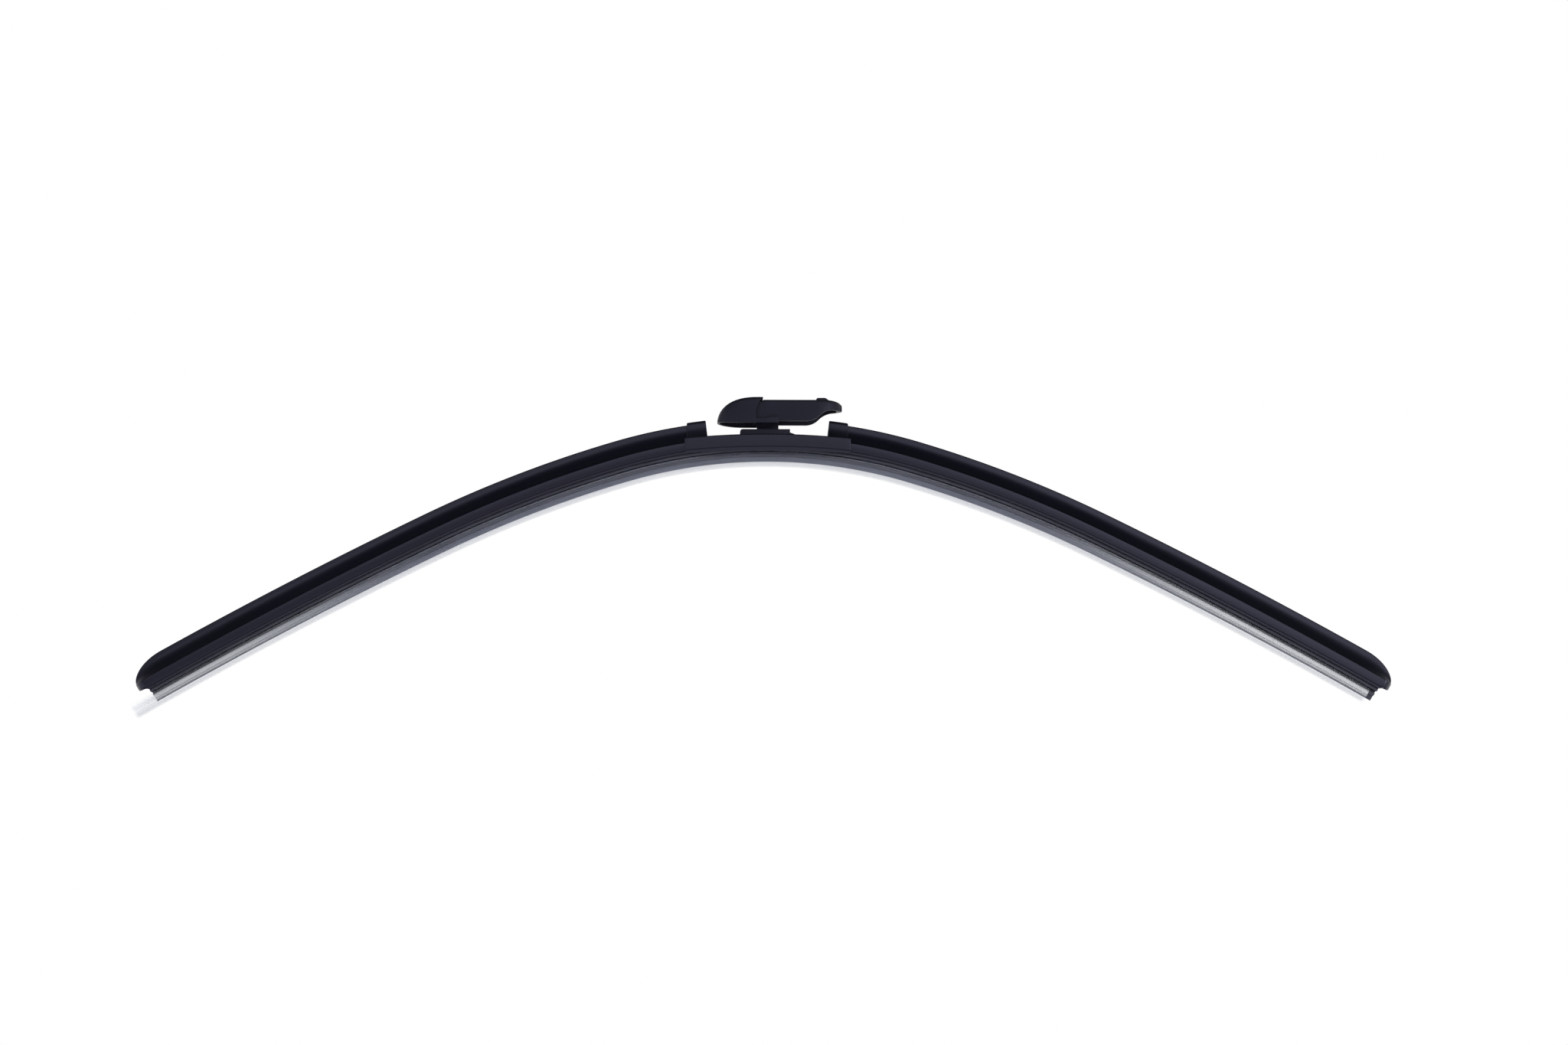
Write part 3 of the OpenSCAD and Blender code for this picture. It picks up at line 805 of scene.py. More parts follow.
@dataclass(frozen=True)
class PaleFloor(Finish):
    """A pale studio floor that turns into the white background further off."""

    near: float = 0.36
    far: float = 0.72
    fibres: float = 240.0

    def weave(self, graph: Graph) -> None:
        """Shows the lit floor close to the blade, and plain white away from it.

        Args:
            graph: The material's nodes.
        """
        where = graph.where()
        away = graph.node("VectorMath", {0: where}, "Value", operation="LENGTH").smooth(self.near, self.far)
        colour = self.tones(graph, graph.noise(where, self.fibres), 0.985, 1.0)
        lit = graph.node("BsdfDiffuse", {"Color": colour})
        white = graph.node("Emission", {"Color": (1.0, 1.0, 1.0), "Strength": 1.0})
        share = (graph.ray("Camera") + graph.ray("Glossy")) * (0.5 + 0.5 * away)
        graph.node("OutputMaterial", {"Surface": graph.node("MixShader", {0: share, 1: lit, 2: white})})


BLACK: Colour = (0.0040, 0.0040, 0.0080)
DEEP_BLACK: Colour = (0.0027, 0.0027, 0.0060)
ADAPTER_BLACK: Colour = (0.0062, 0.0062, 0.0110)
BUTTON_BLACK: Colour = (0.0070, 0.0070, 0.0120)

SPOILER = ExtrudedPlastic("spoiler satin black", "spoiler_black", DEEP_BLACK, 0.33)
CAP = MouldedPlastic("end cap satin black", "cap_black", DEEP_BLACK, 0.33, grain=0.3, depth=0.006)
COVER = MouldedPlastic("bridge cover fine grain", "cover_black", BLACK, 0.42)
SADDLE = MouldedPlastic("saddle plastic", "saddle_black", BLACK, 0.5, specular=0.3)
ADAPTER = MouldedPlastic("adapter fine grain", "adapter_black", ADAPTER_BLACK, 0.46, specular=0.27)
BUTTON = MouldedPlastic("lock button plastic", "button_black", BUTTON_BLACK, 0.45, specular=0.25)
RUBBER = BladeRubber("blade rubber", "blade_rubber", (0.030, 0.030, 0.041), 0.34)
RAIL_STEEL = SpringSteel("rolled spring steel", "spring_steel", (0.42, 0.43, 0.45), 0.36)
PIN_STEEL = SpringSteel("turned pin steel", "pin_steel", (0.62, 0.63, 0.65), 0.28, (2600.0, 60.0, 2600.0))
VINYL = ClearVinyl("clear edge guard", "guard_clear", (0.37, 0.40, 0.52), 0.16)
FLOOR = PaleFloor("pale floor", "floor", (0.86, 0.86, 0.86), 0.7)


def dress_node(node: str, finish: Finish) -> bpy.types.Object:
    """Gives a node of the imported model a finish.

    Args:
        node: Name of the node.
        finish: What it is made of.

    Returns:
        The node's piece.
    """
    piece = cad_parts[node]
    if not piece.material_slots:
        piece.data.materials.append(finish.material())
    for slot in piece.material_slots:
        slot.material = finish.material()
    return piece


# Pieces of the blade


@dataclass(frozen=True)
class WiperRubber:
    """The rubber that wipes, hung in the rails by its head."""

    arch: Arch
    half: float = 300.0
    lip_h: float = 2.15
    lip_t: float = 0.7
    shoulder_w: float = 4.2
    shoulder_n: float = 3.7
    neck_t: float = 1.0
    flange_n: float = 4.7
    flange_w: float = 8.2
    collar_n: float = 5.8
    collar_w: float = 7.6
    web_n: float = 7.1
    web_top: float = 8.1
    web_t: float = 1.9
    head_n: float = 9.45
    head_w: float = 6.0

    def section(self) -> list[Point]:
        """Draws the rubber from its lip to its head.

        Returns:
            The outline, as (y, height over the lip).
        """
        lip, lip_h, shoulder = self.lip_t / 2, self.lip_h, self.shoulder_w / 2
        neck, flange, collar = self.neck_t / 2, self.flange_w / 2, self.collar_w / 2
        web, head = self.web_t / 2, self.head_w / 2
        return rounded(both_sides([
            (lip, 0.0, 0.05), (lip + 0.05, lip_h - 0.15, 0.15), (lip + 0.35, lip_h - 0.05, 0.1),
            (lip + 0.95, lip_h + 0.28, 0.4), (shoulder - 0.1, lip_h + 0.9, 0.6),
            (shoulder, self.shoulder_n, 0.15),
            (neck, self.shoulder_n + 0.1, 0.3), (neck, self.flange_n - 0.1, 0.3),
            (flange, self.flange_n, 0.18), (flange, self.collar_n, 0.12),
            (collar, self.collar_n + 0.05, 0.0), (collar, self.web_n, 0.1),
            (web, self.web_n + 0.01, 0.1), (web, self.web_top - 0.01, 0.1),
            (head, self.web_top, 0.15), (head, self.head_n, 0.3),
        ]))

    def build(self) -> list[bpy.types.Object]:
        """Builds the rubber and returns its pieces."""
        rings = self.arch.sweep(-self.half, self.half, self.section())
        return Solid.loft("extruded_rubber", rings).finish(Body.BLADE, RUBBER, "wiper_rubber", self.arch)


@dataclass(frozen=True)
class SpringRails:
    """The two spring steel rails that bend the blade, kept as the model has them."""

    nodes: tuple[str, str] = ("rail_front", "rail_rear")

    def build(self) -> list[bpy.types.Object]:
        """Gives the rails their finish and returns them."""
        return [dress_node(node, RAIL_STEEL) for node in self.nodes]


@dataclass(frozen=True)
class SpoilerProfile:
    """The section that the spoilers, the end caps and the cover's hoods share."""

    base_w: float = 13.0
    claw_n: float = 6.0
    claw_t: float = 1.0
    claw_open: float = 8.2
    claw_r: float = 0.12
    slot_w: float = 10.3
    slot_n: float = 8.2
    room_w: float = 6.3
    room_n: float = 9.6
    ledge_n: float = 10.95
    tip_n: float = 19.18
    tip_y: float = 2.0
    tip_r: float = 0.62
    front_r: float = 8.9
    back_r: float = 18.8
    back_lean: float = 5.8
    side_chords: int = 14
    tip_chords: int = 6

    def base(self) -> list[Corner]:
        """Draws one side of the base, with the small step at its foot.

        Returns:
            Its corners, from the claw to the ledge.
        """
        half, claw = self.base_w / 2, self.claw_n
        return [
            (half - 0.55, claw, 0.15), (half - 0.2, claw + 0.24, 0.1), (half - 0.35, claw + 0.86, 0.05),
            (half - 0.44, claw + 0.98, 0.06), (half - 0.1, claw + 1.14, 0.06), (half, claw + 1.3, 0.1),
            (half, self.ledge_n, 0.32),
        ]

    def fin(self, grow: float, foot: float) -> list[Corner]:
        """Draws the fin alone: up its hollow front, over its tip and down its leaning back.

        Args:
            grow: How far the edge stands outside the spoiler's own.
            foot: Height over the lip at which it starts and ends.

        Returns:
            The closed outline, as corners without rounding.
        """
        tip, tip_r = (self.tip_y, self.tip_n), self.tip_r + grow
        front_r, back_r = self.front_r - grow, self.back_r - grow
        front = (self.tip_y - self.tip_r - self.front_r, self.tip_n)
        low = -math.degrees(math.asin(min(1.0, (self.tip_n - foot) / front_r)))
        outline = arc(front, front_r, low, 0.0, self.side_chords)
        outline += arc(tip, tip_r, 180.0, 90.0, self.tip_chords)[1:]
        outline += arc(tip, tip_r, 90.0, self.back_lean, self.tip_chords)[1:]
        lean, reach = math.radians(self.back_lean), self.tip_r + self.back_r
        back = (self.tip_y + reach * math.cos(lean), self.tip_n + reach * math.sin(lean))
        low = 180.0 + math.degrees(math.asin(min(1.0, (back[1] - foot) / back_r)))
        outline += arc(back, back_r, 180.0 + self.back_lean, low, self.side_chords)[1:]
        return [(y, n, 0.0) for y, n in outline]

    def outside(self) -> list[Corner]:
        """Returns the closed outside of base and fin."""
        near = [(-y, n, r) for y, n, r in self.base()]
        return near + self.fin(0.0, self.ledge_n) + list(reversed(self.base()))

    def room(self) -> list[Corner]:
        """Draws the room for the rails and the rubber's head, open below the claws.

        Returns:
            The closed outline, as corners.
        """
        claw, slot, room = self.claw_open / 2, self.slot_w / 2, self.room_w / 2
        return both_sides([
            (claw, self.claw_n - 1.0, 0.0), (claw, self.claw_n + self.claw_t, 0.0),
            (slot, self.claw_n + self.claw_t + 0.01, 0.12), (slot, self.slot_n, 0.12),
            (room, self.slot_n + 0.01, 0.1), (room, self.room_n, 0.2),
        ])

    def open_section(self) -> list[Point]:
        """Returns the whole section of a spoiler, with its room inside."""
        near, far = ([(y, self.claw_n, self.claw_r)] for y in (-self.claw_open / 2, self.claw_open / 2))
        return rounded(near + self.outside() + far + list(reversed(self.room()[1:-1])))


@dataclass(frozen=True)
class Spoiler:
    """One of the two air spoilers that run from the cover to the end caps."""

    arch: Arch
    profile: SpoilerProfile
    side: Side
    start: float = 27.4
    end: float = 288.3

    def build(self) -> list[bpy.types.Object]:
        """Builds the spoiler.

        Returns:
            Its pieces.
        """
        rings = self.arch.sweep(*self.side.span(self.start, self.end), self.profile.open_section())
        piece = Solid.loft(self.side.named("air_spoiler"), rings)
        return piece.finish(Body.BLADE, SPOILER, self.side.named("spoiler"), self.arch)


@dataclass(frozen=True)
class EndCap:
    """A moulded cap that closes one end of the blade and carries the fin down to its tip."""

    arch: Arch
    profile: SpoilerProfile
    side: Side
    tip: float = 304.75
    length: float = 16.45
    round_len: float = 4.4
    near_turns: tuple[float, ...] = (18, 26, 35, 45, 55, 65, 74, 83)
    step: float = 0.7
    rise: float = 1.7
    end_fin: float = 0.06
    end_width: float = 0.18
    back_lift: float = 1.8
    lift_len: float = 1.2
    rubber_end: float = 300.15

    def shaped(self, u: float, y: float, n: float) -> Vector:
        """Puts a point of the spoiler's outline on the cap.

        Args:
            u: Distance from the cap's tip.
            y: Distance behind the middle, on the spoiler.
            n: Height over the lip, on the spoiler.

        Returns:
            The point in the frame.
        """
        p = self.profile
        nose = superellipse(1 - u / self.round_len, 2)
        fin = max(self.end_fin, superellipse(1 - u / self.length, 2))
        ramp = clamp((self.round_len + self.step - u) / self.step / 2)
        lift = self.back_lift * clamp((self.round_len - u) / self.lift_len)
        foot = p.claw_n + self.step * ramp + self.rise * (1 - nose) + lift * (0.5 + y / p.base_w)
        if n > p.ledge_n:
            height = p.ledge_n + (n - p.ledge_n) * fin
        else:
            height = foot + (n - p.claw_n) * (p.ledge_n - foot) / (p.ledge_n - p.claw_n)
        return self.arch.place(self.side.value * (self.tip - u), y * max(self.end_width, nose), height)

    def places(self) -> list[float]:
        """Spaces the cap's rings, close together where it is round.

        Returns:
            Their distances from the tip.
        """
        near = [self.round_len * (1 - math.cos(math.radians(turn))) for turn in self.near_turns]
        ramp = [self.round_len + self.step * t for t in (-0.5, 0.0, 0.5, 1.0)]
        start = self.round_len + self.step
        rest = [start + (self.length - start) * t / 9 for t in range(1, 10)]
        return sorted({round(u, 4) for u in [0.0] + near + ramp + rest})

    def build(self) -> list[bpy.types.Object]:
        """Builds the cap and cuts the room for the rails and the rubber into it.

        Returns:
            Its pieces.
        """
        outline, reach = rounded(self.profile.outside()), self.tip - self.length - 1
        rings = [[self.shaped(u, y, n) for y, n in outline] for u in self.places()]
        room = self.arch.sweep(*self.side.span(reach, self.rubber_end), rounded(self.profile.room()))
        body = Solid.loft(self.side.named("moulded_end_cap"), rings)
        body.change(Cut.CUT, Solid.loft("room", room))
        return body.finish(Body.BLADE, CAP, self.side.named("end_cap"), self.arch)


@dataclass(frozen=True)
class BridgeCover:
    """The cover over the middle of the blade, with a hood over each spoiler's end.

    The groove along its crease is given as corners of (out from the side, over the crease, radius).
    """

    arch: Arch
    profile: SpoilerProfile
    half: float = 38.0
    wall: float = 1.0
    fit: float = 0.15
    top: float = 11.95
    top_r: float = 374.0
    side_h: float = 5.6
    skirt_h: float = 2.1
    skirt_in: float = 0.12
    skirt_r: float = 630.0
    edge_r: float = 0.6
    edge_places: tuple[float, ...] = (0.0, 0.06, 0.2, 0.42, 0.7)
    groove: tuple[Corner, ...] = ((-0.29, -0.42, 0.1), (-0.42, -0.12, 0.08), (0.0, 0.14, 0.1))
    mouth: float = 37.2
    mouth_r: float = 0.5
    hood_start: float = 27.1
    hood_end: float = 43.8
    hood_r: float = 0.35
    foot_a: float = -12.85
    foot_b: float = 12.45
    foot_half: float = 6.15
    foot_z: Point = (-18.5, -14.5)

    @staticmethod
    def sag(radius: float, x: float) -> float:
        """Returns the drop of an arc at a distance from its top."""
        return radius - math.sqrt(radius * radius - x * x)

    def ring(self, x: float) -> Ring:
        """Draws the outside of the cover, which is a little smaller close to its ends.

        Args:
            x: Place along the cover.

        Returns:
            The ring's points.
        """
        lost = self.edge_r * (1 - superellipse(1 - (self.half - abs(x)) / self.edge_r, 2))
        wide = self.profile.base_w / 2 + self.fit + self.wall - 0.7 * lost
        level = self.top - self.arch.drop
        top = level - self.sag(self.top_r, x) - lost
        crease = level - self.sag(self.top_r, x) - self.side_h
        foot = level - self.side_h - self.skirt_h - self.sag(self.skirt_r, x) + 0.4 * lost
        half = [(wide - self.skirt_in, foot, 0.16)]
        half += [(wide + out, crease + over, radius) for out, over, radius in self.groove]
        outline = rounded(both_sides(half + [(wide, top, self.edge_r)]), steps=4)
        return [Vector((x, y, z)) for y, z in outline]

    @staticmethod
    def rounding(radius: float) -> list[Point]:
        """Returns steps of a rounded end, as (distance in from the end, loss of width)."""
        angles = [math.radians(a) for a in (0, 22.5, 45, 67.5, 90)]
        return [(radius * (1 - math.cos(a)), radius * (1 - math.sin(a))) for a in angles]

    def hood(self, side: Side) -> Solid:
        """Lofts the outside of one hood, upright at its mouth and square to the blade at its wall.

        Args:
            side: The end of the cover that it is at.

        Returns:
            The hood as a solid with rounded ends.
        """
        steps = [(0.0, into, loss) for into, loss in self.rounding(self.hood_r)]
        steps += [(t / 4, 0.0, 0.0) for t in (1, 2, 3)]
        steps += [(1.0, -into, loss) for into, loss in reversed(self.rounding(self.mouth_r))]
        foot, radius = self.profile.ledge_n + 0.75 * self.wall, self.arch.radii[0]
        turn = self.hood_start / radius - self.wall / (radius + self.profile.ledge_n)
        rings: list[Ring] = []
        for along, inset, loss in steps:
            rings.append([])
            for y, n, _ in self.profile.fin(self.fit + self.wall - loss, foot):
                back = (radius + n) * math.sin(turn)
                x = back + (self.mouth - back) * along + inset
                rings[-1].append(Vector((side.value * x, y, self.arch.height(x, n))))
        return Solid.loft("hood", rings)

    def cavity(self, side: Side) -> Solid:
        """Returns the room inside one hood, for the spoiler's end."""
        outline = [(y, n) for y, n, _ in self.profile.fin(self.fit, self.profile.ledge_n)]
        return Solid.loft("cavity", self.arch.sweep(*side.span(self.hood_start, self.hood_end), outline))

    def passage(self) -> Solid:
        """Clears the way under the cover for the base of the spoilers and for the saddle.

        Returns:
            The room as a solid.
        """
        half, reach = self.profile.base_w / 2 + self.fit, self.half + 5
        low, high = -self.side_h - self.skirt_h, self.profile.ledge_n + self.fit
        outline = rounded([(-half, low, 0.0), (-half, high, 0.3), (half, high, 0.3), (half, low, 0.0)])
        return Solid.loft("passage", self.arch.sweep(-reach, reach, outline))

    def build(self) -> list[bpy.types.Object]:
        """Builds the cover with its hoods, and cuts its rooms and the saddle's opening.

        Returns:
            Its pieces.
        """
        inner = self.half - self.edge_r
        ends = [self.half - self.edge_r * t for t in self.edge_places]
        xs = sorted([-x for x in ends] + ends + [inner * i / 12 for i in range(-12, 13)])
        cover = Solid.loft("bridge_cover_shell", [self.ring(x) for x in xs])
        cover.change(Cut.JOIN, *(self.hood(side) for side in Side))
        cover.change(Cut.CUT, self.passage(), *(self.cavity(side) for side in Side))
        opening = box(self.foot_a, self.foot_b, *self.foot_z)
        cover.change(Cut.CUT, Solid.prism("opening", opening, self.foot_half))
        return cover.finish(Body.BLADE, COVER, "bridge_cover", self.arch)


@dataclass(frozen=True)
class Saddle:
    """The saddle that grips the rails and carries the pivot pin."""

    softness: float = 0.22

    def build(self) -> list[bpy.types.Object]:
        """Rounds the model's saddle and returns its pieces with the pin."""
        saddle = Solid.from_node("rail_saddle", "saddle").soften(self.softness)
        return saddle.finish(Body.BLADE, SADDLE, "saddle") + [dress_node("pivot_pin", PIN_STEEL)]


# Pieces of the adapter


@dataclass(frozen=True)
class AdapterShape:
    """Sizes that the pieces of the adapter share."""

    width: float = 16.2
    height: float = 9.85
    tail_x: float = 34.2
    sweep_x: float = 17.6
    sweep_turn: float = 46.0
    tail_turn: float = 5.0
    low_r: float = 8.7
    high_r: float = 8.9
    pin_drop: float = 5.9

    @staticmethod
    def box_ring(x: float, half: float, foot: float, top: float, radius: float) -> Ring:
        """Draws an upright ring with rounded top edges.

        Args:
            x: Place along the adapter.
            half: Half width.
            foot: Level of its open bottom.
            top: Level of its top.
            radius: Radius of its top edges.

        Returns:
            The ring's points.
        """
        r = min(radius, 0.7 * half, 0.7 * (top - foot))
        edge = [(half, foot)] + arc((half - r, top - r), r, 0.0, 90.0, 7)
        points = [(-y, z) for y, z in edge] + list(reversed(edge))
        return [Vector((x, y, z)) for y, z in points]


@dataclass(frozen=True)
class AdapterBody:
    """The open-bottomed body that the arm's end slides over."""

    shape: AdapterShape
    wall: float = 1.3
    top: float = 1.5
    start: float = -7.0
    seat_x: float = -2.1
    seat_step: float = 0.3
    crown_x: float = 27.6
    tail_round: float = 11.0
    tail_half: float = 2.0
    tail_t: float = 2.3
    tail_wall: float = 2.6
    edge_r: float = 1.2
    button_x: float = 25.4
    button_len: float = 6.1
    button_w: float = 7.0
    button_gap: float = 0.35
    window_r: float = 0.5
    root_x: float = 10.4
    root_z: float = -2.75
    root_r: float = 1.1
    root_wall: float = 1.3
    tongue_gap: float = 4.1
    cheek_in: float = 3.6
    cheek_t: float = 2.0
    web_half: float = 0.6
    pin_r: float = 2.0
    soft: float = 0.14

    def knees(self) -> tuple[float, Point, float, float]:
        """Finds the sweep's two bends.

        Returns:
            Where the bends meet, the second one's centre, where it ends, and the tail's level.
        """
        s, turn, last = self.shape, math.radians(self.shape.sweep_turn), math.radians(self.shape.tail_turn)
        x1 = s.sweep_x + s.low_r * math.sin(turn)
        z1 = s.low_r * (1 - math.cos(turn)) - s.height
        centre = (x1 + s.high_r * math.sin(turn), z1 - s.high_r * math.cos(turn))
        return x1, centre, centre[0] - s.high_r * math.sin(last), centre[1] + s.high_r * math.cos(last)

    def foot(self, x: float) -> float:
        """Follows the lower edge: level, up through the two bends, and level under the tail.

        Args:
            x: Place along the adapter.

        Returns:
            The level of the edge.
        """
        s = self.shape
        x1, centre, x2, tail = self.knees()
        if x <= s.sweep_x:
            return -s.height
        if x <= x1:
            return s.low_r - s.height - math.sqrt(s.low_r ** 2 - (x - s.sweep_x) ** 2)
        if x <= x2:
            return centre[1] + math.sqrt(s.high_r ** 2 - (x - centre[0]) ** 2)
        return tail

    def crown(self, x: float) -> float:
        """Follows the top: lower under the nose cover, level, and round over the tail.

        Args:
            x: Place along the adapter.

        Returns:
            The level of the top.
        """
        if x < self.seat_x:
            return -self.seat_step
        length, fall = self.shape.tail_x - self.crown_x, -self.knees()[3] - self.tail_t
        return fall * superellipse((x - self.crown_x) / length, 2) - fall

    def half(self, x: float) -> float:
        """Returns the half width at x."""
        along = (x - self.shape.tail_x + self.tail_round) / self.tail_round
        return max(self.tail_half, self.shape.width / 2 * superellipse(along, 1.8))

    def stations(self) -> list[float]:
        """Spaces the body's rings, close together in the bends and the tail.

        Returns:
            Their places along the adapter.
        """
        s = self.shape
        x1, _, x2, _ = self.knees()
        places = [self.start, self.seat_x - 0.01, self.seat_x, 0.0, 6.0, 12.0, s.sweep_x]
        places += [s.sweep_x + (x1 - s.sweep_x) * i / 10 for i in range(1, 11)]
        places += [x1 + (x2 - x1) * i / 10 for i in range(1, 11)]
        return places + [x2 + (s.tail_x - x2) * math.sin(math.radians(i * 7.5)) for i in range(1, 13)]

    def shell(self) -> Solid:
        """Lofts the body and hollows it from below.

        Returns:
            The hollow shell.
        """
        s, places, end = self.shape, self.stations(), self.shape.tail_x - self.tail_wall
        inner = [self.start - 1] + [x for x in places if self.start < x < end] + [end]
        outer = [s.box_ring(x, self.half(x), self.foot(x), self.crown(x), self.edge_r) for x in places]
        hollow = [
            s.box_ring(x, self.half(x) - self.wall, -s.height - 2, self.crown(x) - self.top, 0.5)
            for x in inner
        ]
        return Solid.loft("adapter_shell", outer).change(Cut.CUT, Solid.loft("hollow", hollow))

    def inner_forms(self) -> list[Solid]:
        """Builds the cheeks that hold the pin, their webs, and the block of the tongue's root.

        Returns:
            The solids to join to the shell.
        """
        forms: list[Solid] = []
        reach, under, pin_z = self.pin_r + 2, -self.top / 2, -self.shape.pin_drop
        gap = self.shape.width / 2 - self.cheek_in - self.cheek_t
        cheek = arc((0.0, pin_z), reach, 180.0, 360.0, 24) + [(reach, under), (-reach, under)]
        web = box(-self.web_half, self.web_half, pin_z, under)
        at_cheek, at_web = self.cheek_in + self.cheek_t / 2, self.cheek_in + self.cheek_t + gap / 2 - 0.3
        for side in (-1, 1):
            forms.append(Solid.prism("cheek", cheek, self.cheek_t / 2, side * at_cheek))
            forms.append(Solid.prism("web", web, gap / 2 - 0.28, side * at_web))
        a, b = self.root_x - self.root_r - self.root_wall, self.root_x + self.root_r + self.root_wall
        block = box(a, b, self.root_z - self.root_r - 0.9, under)
        return forms + [Solid.prism("root_block", block, self.button_w / 2)]

    def openings(self) -> list[Solid]:
        """Builds the pin's hole and entry, the tongue's root and gap, and the button's window.

        Returns:
            The solids to cut from the body.
        """
        pin, root, wide = (0.0, -self.shape.pin_drop), (self.root_x, self.root_z), self.button_w / 2
        r, low = self.pin_r - 0.25, -self.shape.pin_drop - 5
        entry = [(-r, pin[1]), (r, pin[1]), (r + 0.7, low), (-r - 0.7, low)]
        gap = box(self.root_x, self.root_x + self.tongue_gap, self.root_z - 1.1, self.root_z + 1.2)
        x0, x1 = (self.button_x + t * (self.button_len / 2 + self.button_gap) for t in (-1, 1))
        edge = wide + self.button_gap
        window = rounded([(x, y, self.window_r) for x, y in box(x0, x1, -edge, edge)])
        return [
            Solid.disc("pin_hole", pin, self.pin_r + 0.05, self.shape.width / 2 - self.wall - 0.1),
            Solid.prism("pin_entry", entry, self.cheek_in + self.cheek_t + 1),
            Solid.disc("root_hole", root, self.root_r + 0.08, wide + 0.5),
            Solid.prism("root_gap", gap, wide + 1),
            Solid.loft("window", [[Vector((x, y, z)) for x, y in window] for z in (-2.6, 1.0)]),
        ]

    def build(self) -> list[bpy.types.Object]:
        """Builds the body and returns its pieces."""
        body = self.shell().change(Cut.JOIN, *self.inner_forms()).change(Cut.CUT, *self.openings())
        return body.soften(self.soft, angle=50.0).finish(Body.ADAPTER, ADAPTER, "adapter_body")


@dataclass(frozen=True)
class NoseCover:
    """The domed cover on the adapter's nose, with an arm along each side."""

    shape: AdapterShape
    proud: float = 1.2
    nose_x: float = 23.2
    dome: float = 18.2
    dome_r: float = 1.8
    dome_places: tuple[float, ...] = (
        0.006, 0.015, 0.03, 0.05, 0.08, 0.12, 0.17, 0.23, 0.3, 0.38, 0.47, 0.57, 0.68, 0.8, 0.9, 1.0,
    )
    rim: float = 10.8
    lift: float = 0.9
    seam: float = 2.2
    arm_x: float = 4.9
    soft: float = 0.22

    def shell(self, name: str, inset: float, down: float) -> Solid:
        """Lofts the dome as a solid.

        Args:
            name: Name of the new solid.
            inset: How far inside the dome's skin it is.
            down: How much further down it reaches.

        Returns:
            The solid.
        """
        length, start, half = self.dome - inset, self.dome - self.nose_x, self.nose_x / 2
        rings: list[Ring] = []
        for x in [start - length * (1 - t) for t in self.dome_places] + [self.arm_x + inset]:
            share, rise = (start - x) / length, max(0.0, (-x - half) / half) ** 2
            rings.append(self.shape.box_ring(
                x,
                (self.shape.width / 2 + self.proud - inset) * superellipse(share, 3),
                self.lift * rise - self.rim - down,
                (self.rim + self.proud - inset) * superellipse(share, 2.25) - self.rim,
                max(0.4, self.dome_r - inset),
            ))
        return Solid.loft(name, rings)

    def side_outline(self) -> list[Point]:
        """Draws the outline that trims the dome and shapes its arms, seen from the side.

        Returns:
            Its points, as (x, z).
        """
        front, seam, shank = -self.nose_x - 2, -self.seam, -self.seam - 3.3
        low, high = -self.rim - 1, self.proud + 1
        bend, arm = 2.05 - self.rim, 2.75 - self.rim
        return rounded([
            (front, low, 0), (front, high, 0), (seam, high, 0), (seam, self.proud - 0.6, 0.2),
            (seam - 0.9, 0.2, 0.4), (seam - 2.9, -3.4, 4.0), (shank, -6.0, 2.0), (shank, bend, 0.5),
            (-0.9, bend, 1.0), (1.4, arm, 1.0), (self.arm_x, arm, 0.3), (self.arm_x, low, 0),
        ])

    def build(self) -> list[bpy.types.Object]:
        """Builds the dome, hollows it and trims it to its arms.

        Returns:
            Its pieces.
        """
        cover = self.shell("domed_nose_cover", 0.0, 0.0)
        cover.change(Cut.CUT, self.shell("hollow", self.proud - 0.08, 1.0))
        cover.change(Cut.KEEP, Solid.prism("trim", self.side_outline(), self.shape.width / 2 + 4))
        return cover.soften(self.soft, angle=48.0).finish(Body.ADAPTER, ADAPTER, "nose_cover")


@dataclass(frozen=True)
class LockButton:
    """The button on its spring tongue that locks the arm on."""

    softness: float = 0.3

    def build(self) -> list[bpy.types.Object]:
        """Rounds the model's button and returns its pieces."""
        button = Solid.from_node("press_button", "lock_button").soften(self.softness, segments=3)
        return button.finish(Body.BUTTON, BUTTON, "lock_button")


@dataclass(frozen=True)
class EdgeGuard:
    """The clear guard that keeps the lip straight until the blade is fitted."""

    arch: Arch
    width: float = 6.0
    wall: float = 0.45
    low: float = 2.2
    lips: float = 3.82
    grip: float = 1.05
    bend_r: float = 0.7
    left: float = 311.0
    right: float = 297.0

    def section(self) -> list[Point]:
        """Draws the guard, which is open between its lips.

        Returns:
            The outline, as (y, height over the lip).
        """
        out, inn, r = self.width / 2, self.width / 2 - self.wall, self.bend_r
        top, low, floor = self.lips + self.wall, -self.low, self.wall - self.low
        return rounded([
            (-self.grip, top, 0.15), (-out, top, 0.3), (-out, low, r), (out, low, r), (out, top, 0.3),
            (self.grip, top, 0.15), (self.grip, self.lips, 0.1), (inn, self.lips, 0.15),
            (inn, floor, r - self.wall), (-inn, floor, r - self.wall), (-inn, self.lips, 0.15),
            (-self.grip, self.lips, 0.1),
        ])

    def build(self) -> list[bpy.types.Object]:
        """Builds the guard and returns its pieces."""
        rings = self.arch.sweep(-self.left, self.right, self.section())
        return Solid.loft("clear_edge_guard", rings).finish(Body.BLADE, VINYL, "edge_guard", self.arch)


# Studio


